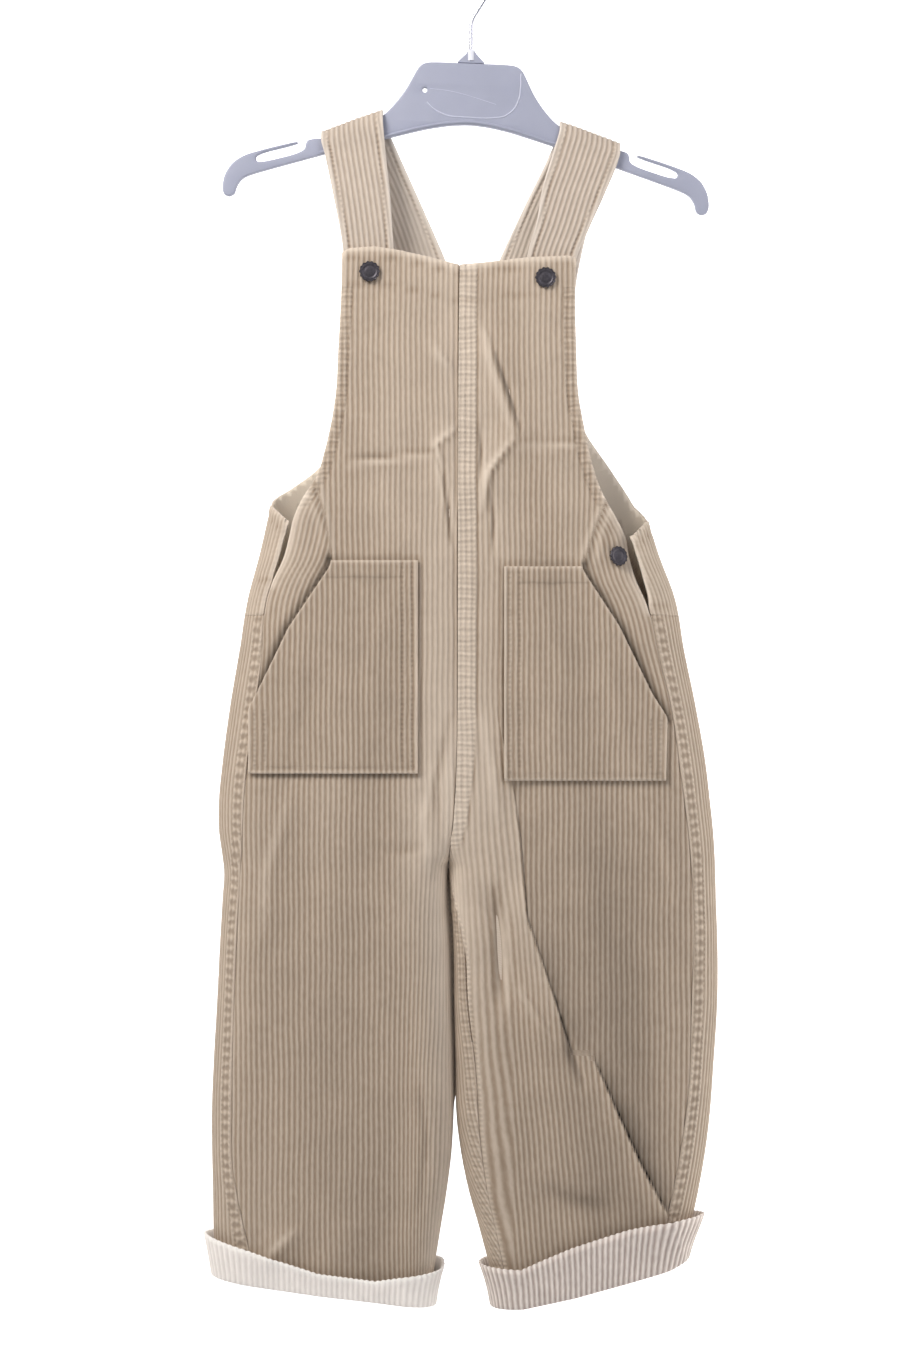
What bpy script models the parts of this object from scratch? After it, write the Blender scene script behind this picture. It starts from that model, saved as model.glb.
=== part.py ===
# Child's corduroy bib dungarees, hung on a plastic hanger.
# Millimetres below, turned to metres when a mesh is made. +Z is up, +Y goes away from the viewer.
# The origin is the inner top of the hook, where it sits on a rail. "down" is the drop below it.
# Left and right are as the viewer sees the front.

import math

import bmesh
import bpy
import numpy as np
from mathutils import Matrix, Vector

MM = 0.001
WALL = 2.0
SEAM = 0.3
FOLD_GAP = 0.5
STRAP_THICK = 2.6
POCKET_THICK = 1.6
COLUMN = 11.0
ROW = 17.5
RING_POINTS = 181

# Crotch: the centre seam turns under between these two drops.
CROTCH_TOP = 526.0
CROTCH = 555.0

# Heights that every body piece has a row at: side opening and crotch
BODY_ROWS = (345.0, 347.0, 408.0, 409.2, 530.0, 543.0, 550.0, 555.0, 562.0)

# Side opening: the back's strip comes round to the front's edge, and stays open down to this drop.
PLACKET_END = 408.0
STRIP_GAP = 1.2
STRIP_TOP = {"left": 343.0, "right": 354.0}

# Felled seam down the centre front
FELL_WIDTH = 10.5
FELL_RISE = 0.8

# Hanger and hook
PLATE = 5.0
TILT = 2.3
COLLAR_BASE = 76.5
HOOK_WIRE = 2.5
HOOK_RADIUS = 18.5
SHANK_BEND = 52.1
SHANK_END = 74.0
HOOK_END_ANGLE = 208.0

SIDES = {"left": -1, "right": 1}

# Body sections, one row a height: drop, centre front and leg inside, centre back and leg inside,
# outline at the side, as x for each half.
BODY_COLUMNS = ("down", "l_in", "l_back", "l_out", "r_in", "r_back", "r_out")
BODY = (
    (180, -6.5, 0.2, -120.6, -6.5, 0.2, 104.0),
    (219, -7.2, 0.2, -120.6, -7.2, 0.2, 104.0),
    (309, -7.8, 0.0, -120.6, -7.8, 0.0, 104.0),
    (342, -7.9, -0.4, -120.6, -7.9, -0.4, 104.5),
    (369, -8.0, -0.8, -126.0, -8.0, -0.8, 111.5),
    (399, -8.1, -1.4, -133.8, -8.1, -1.4, 122.4),
    (429, -8.1, -2.4, -138.6, -8.1, -2.4, 127.6),
    (459, -8.2, -4.0, -143.7, -8.2, -4.0, 133.8),
    (498, -8.8, -7.0, -149.0, -8.8, -7.0, 140.7),
    (519, -9.8, -9.4, -151.0, -9.8, -9.4, 143.1),
    (537, -11.3, -11.3, -151.0, -11.3, -11.3, 145.0),
    (552, -13.2, -13.2, -149.0, -13.2, -13.2, 146.0),
    (561, -14.6, -14.6, -147.9, -13.2, -13.2, 146.3),
    (579, -15.0, -15.0, -148.9, -12.0, -12.0, 146.8),
    (603, -13.6, -13.6, -150.3, -10.8, -10.8, 147.6),
    (639, -12.4, -12.4, -152.1, -10.5, -10.5, 147.6),
    (675, -11.2, -11.2, -154.2, -9.6, -9.6, 145.4),
    (710, -10.4, -10.4, -155.4, -8.5, -8.5, 142.8),
    (729, -11.4, -11.4, -155.2, -6.0, -6.0, 140.4),
    (753, -14.4, -14.4, -154.6, -1.2, -1.2, 136.2),
    (777, -18.6, -18.6, -154.2, 5.4, 5.4, 131.0),
    (807, -23.0, -23.0, -152.6, 12.6, 12.6, 125.5),
    (830, -24.0, -24.0, -151.6, 15.0, 15.0, 122.0),
)

# Half depths of the hanging cloth: front, back, rounding at the side, rounding inside the leg,
# and how far the inside leg seam has turned to the front on each leg.
DEPTH_COLUMNS = ("down", "front", "back", "round_out", "round_in", "l_turn", "r_turn")
DEPTH = (
    (180, 15.0, 12.0, 30.0, 20.0, 0.0, 0.0),
    (309, 20.0, 15.0, 28.0, 20.0, 0.0, 0.0),
    (369, 24.0, 19.0, 26.0, 20.0, 0.0, 0.0),
    (459, 25.0, 23.0, 26.0, 20.0, 0.0, 0.0),
    (552, 25.0, 24.0, 26.0, 20.0, 0.0, 0.0),
    (603, 24.0, 23.0, 25.0, 22.0, -5.0, 17.0),
    (639, 23.0, 22.0, 25.0, 22.0, -6.0, 20.0),
    (690, 22.0, 21.0, 24.0, 22.0, -6.0, 24.0),
    (753, 21.0, 20.0, 23.0, 20.0, -6.0, 22.0),
    (830, 20.0, 19.0, 22.0, 18.0, -6.0, 16.0),
)

# Outer edge of each front: armhole, side opening, then the side seam.
FRONT_EDGE_COLUMNS = ("down", "left", "right")
FRONT_EDGE = (
    (180, -77.0, 64.0),
    (213, -77.4, 62.2),
    (249, -79.2, 62.7),
    (279, -81.0, 64.2),
    (297, -84.0, 67.4),
    (312, -87.6, 70.4),
    (326, -92.0, 74.2),
    (339, -100.6, 79.6),
    (351, -106.0, 86.6),
    (361, -108.2, 92.0),
    (375, -112.0, 95.0),
    (388, -118.2, 98.6),
    (400, -122.0, 103.6),
    (412, -123.6, 107.2),
    (431, -124.2, 111.0),
    (459, -127.8, 118.0),
    (498, -133.2, 123.8),
    (555, -136.8, 130.6),
    (579, -138.4, 132.0),
    (639, -141.0, 131.0),
    (699, -142.2, 128.4),
    (740, -141.4, 122.0),
    (762, -137.4, 117.4),
    (790, -131.0, 111.0),
    (830, -126.0, 106.0),
)

# Armhole edge of each back, from the strap seam down to the side opening.
BACK_EDGE_COLUMNS = ("down", "left", "right")
BACK_EDGE = (
    (225, -63.4, 60.6),
    (267, -65.4, 62.4),
    (296, -75.6, 68.4),
    (320, -93.0, 84.6),
    (341, -119.0, 98.0),
    (350, -120.6, 102.2),
)

BIB_TOP_COLUMNS = ("x", "down")
BIB_TOP = (
    (-80.0, 193.2),
    (-76.8, 192.2),
    (-72.6, 189.8),
    (-57.6, 188.6),
    (-42.0, 191.0),
    (-24.6, 195.0),
    (-6.6, 199.6),
    (8.4, 198.0),
    (33.0, 195.3),
    (58.8, 194.2),
    (64.0, 196.8),
)

BACK_TOP = 234.0

# Lowest line of each turn-up, and its free upper edge on the front and on the back.
HEM_COLUMNS = ("x", "bottom", "top_front", "top_back")
HEM = {
    "left": (
        (-158.0, 803.0, 776.6, 777.0),
        (-130.0, 807.4, 786.0, 783.0),
        (-91.0, 813.0, 799.0, 789.0),
        (-57.0, 817.0, 803.5, 793.0),
        (-20.0, 822.0, 798.8, 795.0),
    ),
    "right": (
        (10.0, 822.6, 796.4, 796.0),
        (30.0, 821.0, 797.0, 793.0),
        (61.0, 814.4, 783.6, 787.0),
        (92.0, 806.0, 773.0, 778.0),
        (118.0, 798.4, 767.0, 769.0),
        (137.0, 789.0, 765.0, 764.0),
    ),
}
CUFF_CLEAR = 0.9
CUFF_FLARE = 3.0

# Largest folds: start and end as x and drop, half width, height outwards.
FOLD_COLUMNS = ("x0", "down0", "x1", "down1", "spread", "rise")
FOLDS = (
    (30.0, 587.0, 52.0, 650.0, 13.0, 4.5),
    (52.0, 650.0, 92.0, 708.0, 13.0, 4.5),
    (92.0, 708.0, 117.0, 766.0, 12.0, 4.0),
    (17.0, 585.0, 17.5, 632.0, 10.0, -3.5),
    (53.0, 751.0, 77.0, 762.0, 11.0, -3.0),
    (28.0, 519.0, 32.0, 556.0, 12.0, -2.5),
    (-22.0, 250.0, -10.0, 340.0, 12.0, 2.0),
    (12.0, 258.0, 25.0, 305.0, 11.0, 2.2),
    (25.0, 305.0, 7.0, 333.0, 11.0, 2.2),
    (-120.0, 789.0, -103.0, 774.0, 11.0, 2.0),
    (-96.0, 560.0, -92.0, 690.0, 22.0, -2.5),
)

FOLD_HIGHEST = 5.0
FOLD_DEEPEST = -4.0

# The right front's edge curls back round the side opening.
CURL = 9.0
CURL_CENTRE = 372.0
CURL_LENGTH = 18.0
CURL_WIDTH = 15.0

# Pockets: drops of the top and bottom, x of the inner edge, and the outer edge by height.
POCKET = {
    "left": {
        "top": 376.2,
        "bottom": 502.4,
        "inner": -31.6,
        "outer": ((376.2, -82.8), (380.0, -84.0), (416.6, -108.6), (452.4, -125.4), (463.6, -131.0),
                  (502.4, -131.2)),
    },
    "right": {
        "top": 379.8,
        "bottom": 506.6,
        "inner": 19.6,
        "outer": ((379.8, 65.4), (384.0, 67.4), (415.0, 87.6), (455.0, 107.0), (469.0, 115.6),
                  (506.6, 115.2)),
    },
}

# Straps, from behind the bib over the hanger to the back: outer edge, inner edge, y of the middle.
# The crest row is where the strap crosses the arm.
STRAP_COLUMNS = ("x_outer", "down_outer", "x_inner", "down_inner", "y")
STRAP_FRONT = {
    "left": (
        (-75.2, 219.0, -44.0, 219.0, -10.6),
        (-76.6, 189.0, -46.2, 189.0, -10.6),
        (-82.6, 156.0, -48.6, 154.0, -8.4),
        (-87.6, 132.0, -51.4, 128.0, -5.6),
    ),
    "right": (
        (61.0, 219.0, 30.8, 219.0, -10.6),
        (63.2, 195.0, 33.6, 193.0, -10.6),
        (70.2, 178.0, 39.0, 174.0, -9.2),
        (79.2, 158.0, 42.4, 154.0, -7.6),
        (87.8, 137.0, 49.4, 130.0, -5.4),
    ),
}
STRAP_CREST = {
    "left": (-89.7, 119.0, -52.8, 105.4),
    "right": (89.4, 126.0, 53.2, 112.4),
}
STRAP_BACK = {
    "left": (
        (-86.4, 131.0, -45.6, 126.0, 5.6),
        (-74.4, 159.0, -30.7, 159.0, 8.0),
        (-65.4, 194.0, -15.3, 194.0, 10.0),
        (-63.6, 233.2, -0.4, 231.4, 11.8),
    ),
    "right": (
        (87.4, 137.0, 47.2, 131.0, 5.6),
        (75.8, 159.0, 33.6, 159.0, 8.0),
        (66.0, 194.0, 17.1, 194.0, 10.0),
        (60.8, 233.2, 0.8, 231.4, 11.8),
    ),
}
STRAP_BEND = 5.0
STRAP_STEP = 12.0

# Press fasteners: x, drop, diameter.
BIB_SNAPS = {"left": (-60.4, 204.0, 12.8), "right": (44.3, 207.6, 12.8)}
SIDE_SNAP = (86.4, 373.8, 12.3)
BIB_SNAP_CLEAR = 0.6
SIDE_SNAP_CLEAR = 1.2
SNAP_THICK = 2.0
# Cap profile: share of the diameter, share of the thickness
SNAP_PROFILE = ((0.0, 1.0), (0.30, 1.0), (0.40, 0.72), (0.46, 0.85), (0.5, 0.5), (0.5, 0.0), (0.0, 0.0))

# Half of the hanger's outline, in its own upright frame: x, drop below the collar's base.
HANGER_TOP = ((0.0, 0.9), (24.0, 0.9), (28.6, 2.0), (31.4, 4.6), (34.3, 10.2), (38.6, 18.6),
              (44.0, 26.2), (49.5, 32.4), (54.0, 36.2), (66.0, 42.2), (88.0, 49.6), (91.5, 49.4))
HANGER_SLOT = ((96.8, 51.0), (97.6, 57.9), (126.0, 66.1), (126.8, 60.4), (101.6, 53.2), (102.0, 51.6))
HANGER_END = ((120.0, 56.6), (134.0, 61.2), (141.0, 66.4), (145.0, 73.4), (146.2, 81.0), (145.0, 85.0),
              (141.6, 86.4), (138.4, 84.6), (137.2, 79.6), (134.4, 75.4), (129.0, 72.4))
HANGER_UNDER = ((88.5, 59.6), (66.0, 52.6), (47.5, 47.4), (25.5, 41.2), (12.0, 38.6), (0.0, 37.6))
HANGER_HOLE = (-27.0, 17.9, 3.0)


# Reading a table by its column names, smoothly

def column(rows, names, name):
    place = names.index(name)
    return np.array([row[place] for row in rows], dtype=float)


def smooth(at, xs, ys):
    slopes = np.gradient(ys, xs)
    at = np.clip(at, xs[0], xs[-1])
    i = np.clip(np.searchsorted(xs, at) - 1, 0, len(xs) - 2)
    width = xs[i + 1] - xs[i]
    t = (at - xs[i]) / width
    low = ys[i] * (1 + 2 * t) * (1 - t) ** 2 + slopes[i] * width * t * (1 - t) ** 2
    return low + ys[i + 1] * t * t * (3 - 2 * t) - slopes[i + 1] * width * t * t * (1 - t)


def body(side, name, down):
    return smooth(down, column(BODY, BODY_COLUMNS, "down"),
                  column(BODY, BODY_COLUMNS, side[0] + "_" + name))


def depth(name, down):
    return smooth(down, column(DEPTH, DEPTH_COLUMNS, "down"), column(DEPTH, DEPTH_COLUMNS, name))


def front_edge(side, down):
    return smooth(down, column(FRONT_EDGE, FRONT_EDGE_COLUMNS, "down"),
                  column(FRONT_EDGE, FRONT_EDGE_COLUMNS, side))


def back_edge(side, down):
    return smooth(down, column(BACK_EDGE, BACK_EDGE_COLUMNS, "down"),
                  column(BACK_EDGE, BACK_EDGE_COLUMNS, side))


def bib_top(x):
    return np.interp(x, column(BIB_TOP, BIB_TOP_COLUMNS, "x"), column(BIB_TOP, BIB_TOP_COLUMNS, "down"))


def hem(side, name, x):
    rows = HEM[side]
    return np.interp(x, column(rows, HEM_COLUMNS, "x"), column(rows, HEM_COLUMNS, name))


# The hanging cloth's ring at one height, from the centre front round the side to the centre back

class Ring:
    def __init__(self, side, down):
        sign = SIDES[side]
        self.down = down
        turn = np.clip((down - CROTCH_TOP) / (CROTCH - CROTCH_TOP), 0.0, 1.0)
        self.closed = 1.0 - math.sqrt(1.0 - turn * turn)
        x_front = body(side, "in", down) + sign * SEAM / 2
        x_back = body(side, "back", down) + sign * SEAM / 2
        x_out = body(side, "out", down)
        t = (1 - np.cos(np.linspace(0, math.pi, RING_POINTS))) / 2
        self.x, self.y = self.half(t, x_front, x_out, -depth("front", down))
        back_x, back_y = self.half(t, x_back, x_out, depth("back", down))
        self.x = np.concatenate([self.x, back_x[-2::-1]])
        self.y = np.concatenate([self.y, back_y[-2::-1]])
        steps = np.hypot(np.diff(self.x), np.diff(self.y))
        self.s = np.concatenate([[0.0], np.cumsum(steps)])
        self.total = self.s[-1]
        self.outline = self.s[RING_POINTS - 1]

    def half(self, t, x_in, x_out, deep):
        width = abs(x_out - x_in)
        near_out = np.minimum(1.0, (1 - t) * width / depth("round_out", self.down))
        near_in = np.minimum(1.0, t * width / depth("round_in", self.down))
        cap = np.sqrt(1 - (1 - near_out) ** 2)
        inside = 1 - self.closed + self.closed * np.sqrt(1 - (1 - near_in) ** 2)
        crown = 0.94 + 0.06 * np.sin(math.pi * t)
        return x_in + (x_out - x_in) * t, deep * cap * inside * crown

    def at(self, s):
        if self.closed > 0.999:
            s = s % self.total
        else:
            s = min(max(s, 0.0), self.total)
        return np.interp(s, self.s, self.x), np.interp(s, self.s, self.y)

    def front_s(self, x):
        n = RING_POINTS
        order = np.argsort(self.x[:n])
        return np.interp(x, self.x[:n][order], self.s[:n][order])

    def back_s(self, x):
        n = RING_POINTS - 1
        order = np.argsort(self.x[n:])
        return np.interp(x, self.x[n:][order], self.s[n:][order])


RINGS = {}


def ring(side, down):
    key = (side, round(float(down), 3))
    if key not in RINGS:
        RINGS[key] = Ring(side, float(down))
    return RINGS[key]


def fold_rise(x, down):
    total = 0.0
    for row in FOLDS:
        fold = dict(zip(FOLD_COLUMNS, row))
        start = Vector((fold["x0"], fold["down0"]))
        along = Vector((fold["x1"], fold["down1"])) - start
        here = Vector((x, down)) - start
        t = min(max(here.dot(along) / along.length_squared, 0.0), 1.0)
        away = (here - along * t).length
        total += fold["rise"] * math.exp(-(away / fold["spread"]) ** 2)
    return max(min(total, FOLD_HIGHEST), FOLD_DEEPEST)


def curl_back(side, x, down):
    if side == "left":
        return 0.0
    reach = math.exp(-((down - CURL_CENTRE) / CURL_LENGTH) ** 2)
    edge = front_edge(side, down)
    if x > edge:
        near = max(0.0, 1 - (x - edge) / (body(side, "out", down) - edge))
    else:
        near = max(0.0, 1 - (edge - x) / CURL_WIDTH)
    return CURL * reach * near * near


def cloth_point(side, down, s, on_front):
    x, y = ring(side, down).at(s)
    if on_front:
        y += curl_back(side, x, down)
    return Vector((x, y, -down))


def cloth_normal(side, down, s, on_front):
    step = 0.6
    across = cloth_point(side, down, s + step, on_front) - cloth_point(side, down, s - step, on_front)
    along = (cloth_point(side, down + step, s, on_front)
             - cloth_point(side, down - step, s, on_front))
    return (across.cross(along) * -SIDES[side]).normalized()


def inside_turn(side, down):
    return depth(side[0] + "_turn", down) if down > CROTCH else 0.0


def seam_trim(side, down):
    return SEAM / 2 * ring(side, down).closed


# A grid of cloth points held inside its edges. Points past an edge are moved onto it and merged,
# so columns stay along the wales and the edges stay exact.

def snapped(value, low, high, room):
    if value < low + room:
        return low
    if value > high - room:
        return high
    return value


def grid_points(columns, rows, limits, top, bottom):
    room = 0.3
    found = {}
    cells = []
    for row in rows:
        line = []
        for place in columns:
            down = row
            for _ in range(3):
                low, high = limits(down)
                u = snapped(place, low, high, room * COLUMN)
                down = snapped(row, top(u, down), bottom(u, down), room * ROW)
            key = (round(u, 3), round(down, 3))
            line.append(found.setdefault(key, len(found)))
        cells.append(line)
    faces = []
    for upper, lower in zip(cells, cells[1:]):
        for k in range(len(columns) - 1):
            quad = (upper[k], upper[k + 1], lower[k + 1], lower[k])
            for tri in ((quad[0], quad[1], quad[2]), (quad[0], quad[2], quad[3])):
                if len(set(tri)) == 3:
                    faces.append(tri)
    return list(found), faces


def shell(name, outer, inner, faces, flip):
    mesh = bmesh.new()
    out = [mesh.verts.new(p * MM) for p in outer]
    back = [mesh.verts.new(p * MM) for p in inner]
    edges = {}
    for tri in faces:
        for a, b in zip(tri, tri[1:] + tri[:1]):
            edges[(a, b)] = True
    for a, b, c in faces:
        mesh.faces.new((out[a], out[b], out[c]))
        mesh.faces.new((back[c], back[b], back[a]))
    for a, b in edges:
        if (b, a) not in edges:
            mesh.faces.new((out[b], out[a], back[a], back[b]))
    loose = [v for v in mesh.verts if not v.link_faces]
    bmesh.ops.delete(mesh, geom=loose, context="VERTS")
    if flip:
        bmesh.ops.reverse_faces(mesh, faces=mesh.faces)
    bmesh.ops.triangulate(mesh, faces=mesh.faces)
    return finished(name, mesh)


def finished(name, mesh, smooth_shade=True):
    data = bpy.data.meshes.new(name)
    mesh.to_mesh(data)
    mesh.free()
    piece = bpy.data.objects.new(name, data)
    bpy.context.scene.collection.objects.link(piece)
    if smooth_shade:
        data.shade_smooth()
        data.set_sharp_from_angle(angle=math.radians(40))
    return piece


def steps(start, end, width, extra=()):
    count = max(1, round((end - start) / width))
    plain = [v for v in np.linspace(start, end, count + 1)
             if all(abs(v - e) > width * 0.3 for e in extra)]
    return sorted([round(v, 3) for v in plain] + list(extra))


def body_rows():
    return steps(186.0, 824.0, ROW, BODY_ROWS)


# Cut pieces of the body

def front_panel(side):
    sign = SIDES[side]

    def limits(down):
        here = ring(side, down)
        low = inside_turn(side, down) + seam_trim(side, down)
        return low, here.front_s(front_edge(side, down)) - SEAM / 2

    def top(u, down):
        return bib_top(ring(side, max(down, 190.0)).at(u)[0])

    def bottom(u, down):
        return hem(side, "bottom", ring(side, down).at(u)[0]) - WALL - SEAM

    band = (FELL_WIDTH - 0.8, FELL_WIDTH + 0.6) if side == "right" else ()
    columns = steps(-8.0, 184.0, COLUMN, band)
    rows = body_rows()
    keys, faces = grid_points(columns, rows, limits, top, bottom)
    outer = []
    inner = []
    for s, down in keys:
        point = cloth_point(side, down, s, True)
        normal = cloth_normal(side, down, s, True)
        rise = fold_rise(point.x, down) * min(1.0, abs(s - limits(down)[1]) / 14 + 0.15)
        if side == "right" and s <= FELL_WIDTH and down < CROTCH_TOP:
            rise += FELL_RISE
        outer.append(point + normal * rise)
        inner.append(point + normal * (min(rise, 3.0) - WALL))
    return shell("front_panel_" + side, outer, inner, faces, sign > 0)


def back_panel(side):
    sign = SIDES[side]

    def limits(down):
        here = ring(side, down)
        high = here.total + inside_turn(side, down) - seam_trim(side, down) - here.outline
        if down <= 345.0:
            low = here.back_s(back_edge(side, down)) - here.outline
        elif down <= PLACKET_END + 0.01:
            low = 0.6
        else:
            low = here.front_s(front_edge(side, down)) + SEAM / 2 - here.outline
        return low, high

    def top(u, down):
        return BACK_TOP

    def bottom(u, down):
        here = ring(side, down)
        return hem(side, "bottom", here.at(u + here.outline)[0]) - WALL - SEAM

    columns = steps(-40.0, 196.0, COLUMN)
    rows = body_rows()
    keys, faces = grid_points(columns, rows, limits, top, bottom)
    outer = []
    inner = []
    for u, down in keys:
        s = u + ring(side, down).outline
        point = cloth_point(side, down, s, False)
        normal = cloth_normal(side, down, s, False)
        outer.append(point)
        inner.append(point - normal * WALL)
    return shell("back_panel_" + side, outer, inner, faces, sign > 0)


def side_placket(side):
    """The strip of the back beside the front's edge at the side opening, as a short closed wall."""
    top = STRIP_TOP[side]
    rows = [top] + [row for row in body_rows() if top + 4 < row < PLACKET_END] + [PLACKET_END - 0.4]
    across = 6
    mesh = bmesh.new()
    outer = []
    inner = []
    for down in rows:
        here = ring(side, down)
        edge = here.front_s(front_edge(side, down)) + STRIP_GAP
        for s in np.linspace(edge, here.outline + 0.2, across):
            point = cloth_point(side, down, s, False)
            normal = cloth_normal(side, down, s, False)
            outer.append(mesh.verts.new(point * MM))
            inner.append(mesh.verts.new((point - normal * WALL) * MM))
    border = []
    for j in range(len(rows) - 1):
        for k in range(across - 1):
            i = j * across + k
            quad = (i, i + 1, i + 1 + across, i + across)
            mesh.faces.new([outer[n] for n in quad])
            mesh.faces.new([inner[n] for n in reversed(quad)])
    last = (len(rows) - 1) * across
    border += range(across)
    border += range(2 * across - 1, last + across, across)
    border += range(last + across - 2, last - 1, -1)
    border += range(last - across, 0, -across)
    for a, b in zip(border, border[1:] + border[:1]):
        mesh.faces.new((outer[b], outer[a], inner[a], inner[b]))
    bmesh.ops.recalc_face_normals(mesh, faces=mesh.faces)
    bmesh.ops.triangulate(mesh, faces=mesh.faces)
    return finished("side_placket_" + side, mesh)


def pocket(side):
    sign = SIDES[side]
    cut = POCKET[side]
    drops = [row[0] for row in cut["outer"]]
    outers = [row[1] for row in cut["outer"]]

    def limits(down):
        here = ring(side, down)
        return here.front_s(cut["inner"]), here.front_s(np.interp(down, drops, outers))

    def top(u, down):
        return cut["top"]

    def bottom(u, down):
        return cut["bottom"]

    columns = steps(-8.0, 184.0, COLUMN)
    rows = body_rows()
    keys, faces = grid_points(columns, rows, limits, top, bottom)
    outer = []
    inner = []
    for s, down in keys:
        point = cloth_point(side, down, s, True)
        normal = cloth_normal(side, down, s, True)
        rise = fold_rise(point.x, down) + FOLD_GAP
        outer.append(point + normal * (rise + POCKET_THICK))
        inner.append(point + normal * rise)
    return shell("pocket_" + side, outer, inner, faces, sign > 0)


# The turn-up is one ring whose section is an L: up outside the leg, and in under its edge.

def cuff(side):
    around = 38
    mesh = bmesh.new()
    loops = []
    for i in range(around):
        where = i / around
        profile = []
        low_ring = ring(side, 800.0)
        x = low_ring.at(where * low_ring.total)[0]
        bottom = hem(side, "bottom", x)
        front = low_ring.at(where * low_ring.total)[1] < 0
        top = hem(side, "top_front" if front else "top_back", x)
        height = bottom - top
        out = CUFF_CLEAR + WALL
        for away, down in ((out, bottom), (out + 0.3 * CUFF_FLARE, bottom - height / 2),
                           (out + CUFF_FLARE, top), (CUFF_CLEAR + CUFF_FLARE, top),
                           (CUFF_CLEAR + 0.3 * CUFF_FLARE, bottom - height / 2),
                           (CUFF_CLEAR, bottom - WALL), (-WALL, bottom - WALL), (-WALL, bottom)):
            here = ring(side, down)
            s = where * here.total
            point = cloth_point(side, down, s, False)
            normal = cloth_normal(side, down, s, False)
            normal.z = 0
            rise = max(0.0, fold_rise(point.x, down)) if front else 0.0
            profile.append(mesh.verts.new((point + normal.normalized() * (away + rise)) * MM))
        loops.append(profile)
    for a, b in zip(loops, loops[1:] + loops[:1]):
        count = len(a)
        for k in range(count):
            mesh.faces.new((a[k], a[(k + 1) % count], b[(k + 1) % count], b[k]))
    bmesh.ops.recalc_face_normals(mesh, faces=mesh.faces)
    bmesh.ops.triangulate(mesh, faces=mesh.faces)
    return finished("cuff_" + side, mesh)


# Straps: a band swept from behind the bib, over the arm of the hanger, to the centre back

def strap_stations(side):
    """Rows of STRAP_COLUMNS along the strap: front, a half turn over the arm, back."""
    rows = [np.array(row) for row in STRAP_FRONT[side]]
    x_outer, down_outer, x_inner, down_inner = STRAP_CREST[side]
    for angle in (-80, -54, -27, 0, 27, 54, 80):
        lift = STRAP_BEND * (1 - math.cos(math.radians(angle)))
        y = STRAP_BEND * math.sin(math.radians(angle))
        rows.append(np.array((x_outer, down_outer + lift, x_inner, down_inner + lift, y)))
    rows.extend(np.array(row) for row in STRAP_BACK[side])
    return rows


def strap(side):
    rows = [dict(zip(STRAP_COLUMNS, row)) for row in strap_stations(side)]
    outer = [Vector((r["x_outer"], r["y"], -r["down_outer"])) for r in rows]
    inner = [Vector((r["x_inner"], r["y"], -r["down_inner"])) for r in rows]
    lengths = [0.0]
    for a, b, c, d in zip(outer, outer[1:], inner, inner[1:]):
        lengths.append(lengths[-1] + ((b - a).length + (d - c).length) / 2)
    marks = set()
    for a, b in zip(lengths, lengths[1:]):
        count = max(1, round((b - a) / STRAP_STEP))
        marks |= {round(a + (b - a) * i / count, 4) for i in range(count + 1)}
    marks = sorted(marks)
    table = np.array([(*o, *i) for o, i in zip(outer, inner)])
    path = np.array([smooth(np.array(marks), np.array(lengths), table[:, k]) for k in range(6)]).T
    mesh = bmesh.new()
    sections = []
    for n, row in enumerate(path):
        edge, side_edge = Vector(row[:3]), Vector(row[3:])
        before = path[max(n - 1, 0)]
        after = path[min(n + 1, len(path) - 1)]
        along = Vector(after[:3] + after[3:] - before[:3] - before[3:]).normalized()
        across = (side_edge - edge).normalized()
        normal = across.cross(along).normalized() * STRAP_THICK / 2
        middle = (edge + side_edge) / 2
        ring_points = [p + normal for p in (edge, middle, side_edge)]
        ring_points += [p - normal for p in (side_edge, middle, edge)]
        sections.append([mesh.verts.new(p * MM) for p in ring_points])
    for a, b in zip(sections, sections[1:]):
        for k in range(6):
            mesh.faces.new((a[k], a[(k + 1) % 6], b[(k + 1) % 6], b[k]))
    mesh.faces.new(sections[0])
    mesh.faces.new(sections[-1])
    bmesh.ops.recalc_face_normals(mesh, faces=mesh.faces)
    bmesh.ops.triangulate(mesh, faces=mesh.faces)
    return finished("strap_" + side, mesh)


# Hard pieces

def snap(name, side, x, down, across, clearance):
    s = ring(side, down).front_s(x)
    point = cloth_point(side, down, s, True)
    normal = cloth_normal(side, down, s, True)
    mesh = bmesh.new()
    verts = [mesh.verts.new((r * across * MM, 0, h * SNAP_THICK * MM)) for r, h in SNAP_PROFILE]
    for a, b in zip(verts, verts[1:]):
        mesh.edges.new((a, b))
    bmesh.ops.spin(mesh, geom=mesh.verts[:] + mesh.edges[:], axis=(0, 0, 1), cent=(0, 0, 0),
                   angle=2 * math.pi, steps=14, use_duplicate=False)
    bmesh.ops.remove_doubles(mesh, verts=mesh.verts, dist=1e-6)
    bmesh.ops.recalc_face_normals(mesh, faces=mesh.faces)
    bmesh.ops.triangulate(mesh, faces=mesh.faces)
    piece = finished(name, mesh)
    turn = Vector((0, 0, 1)).rotation_difference(normal).to_matrix().to_4x4()
    lift = clearance + fold_rise(x, down)
    piece.matrix_world = Matrix.Translation((point + normal * lift) * MM) @ turn
    return piece


def cutter(name, mesh):
    piece = finished(name, mesh, smooth_shade=False)
    piece.hide_render = True
    piece.display_type = "WIRE"
    return piece


def cut_by(piece, tool):
    step = piece.modifiers.new("cut", "BOOLEAN")
    step.object = tool
    step.operation = "DIFFERENCE"
    step.solver = "EXACT"


def round_cutter(name, radius, length, matrix):
    mesh = bmesh.new()
    bmesh.ops.create_cone(mesh, cap_ends=True, segments=16, radius1=radius * MM, radius2=radius * MM,
                          depth=length * MM, matrix=matrix)
    return cutter(name, mesh)


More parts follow.
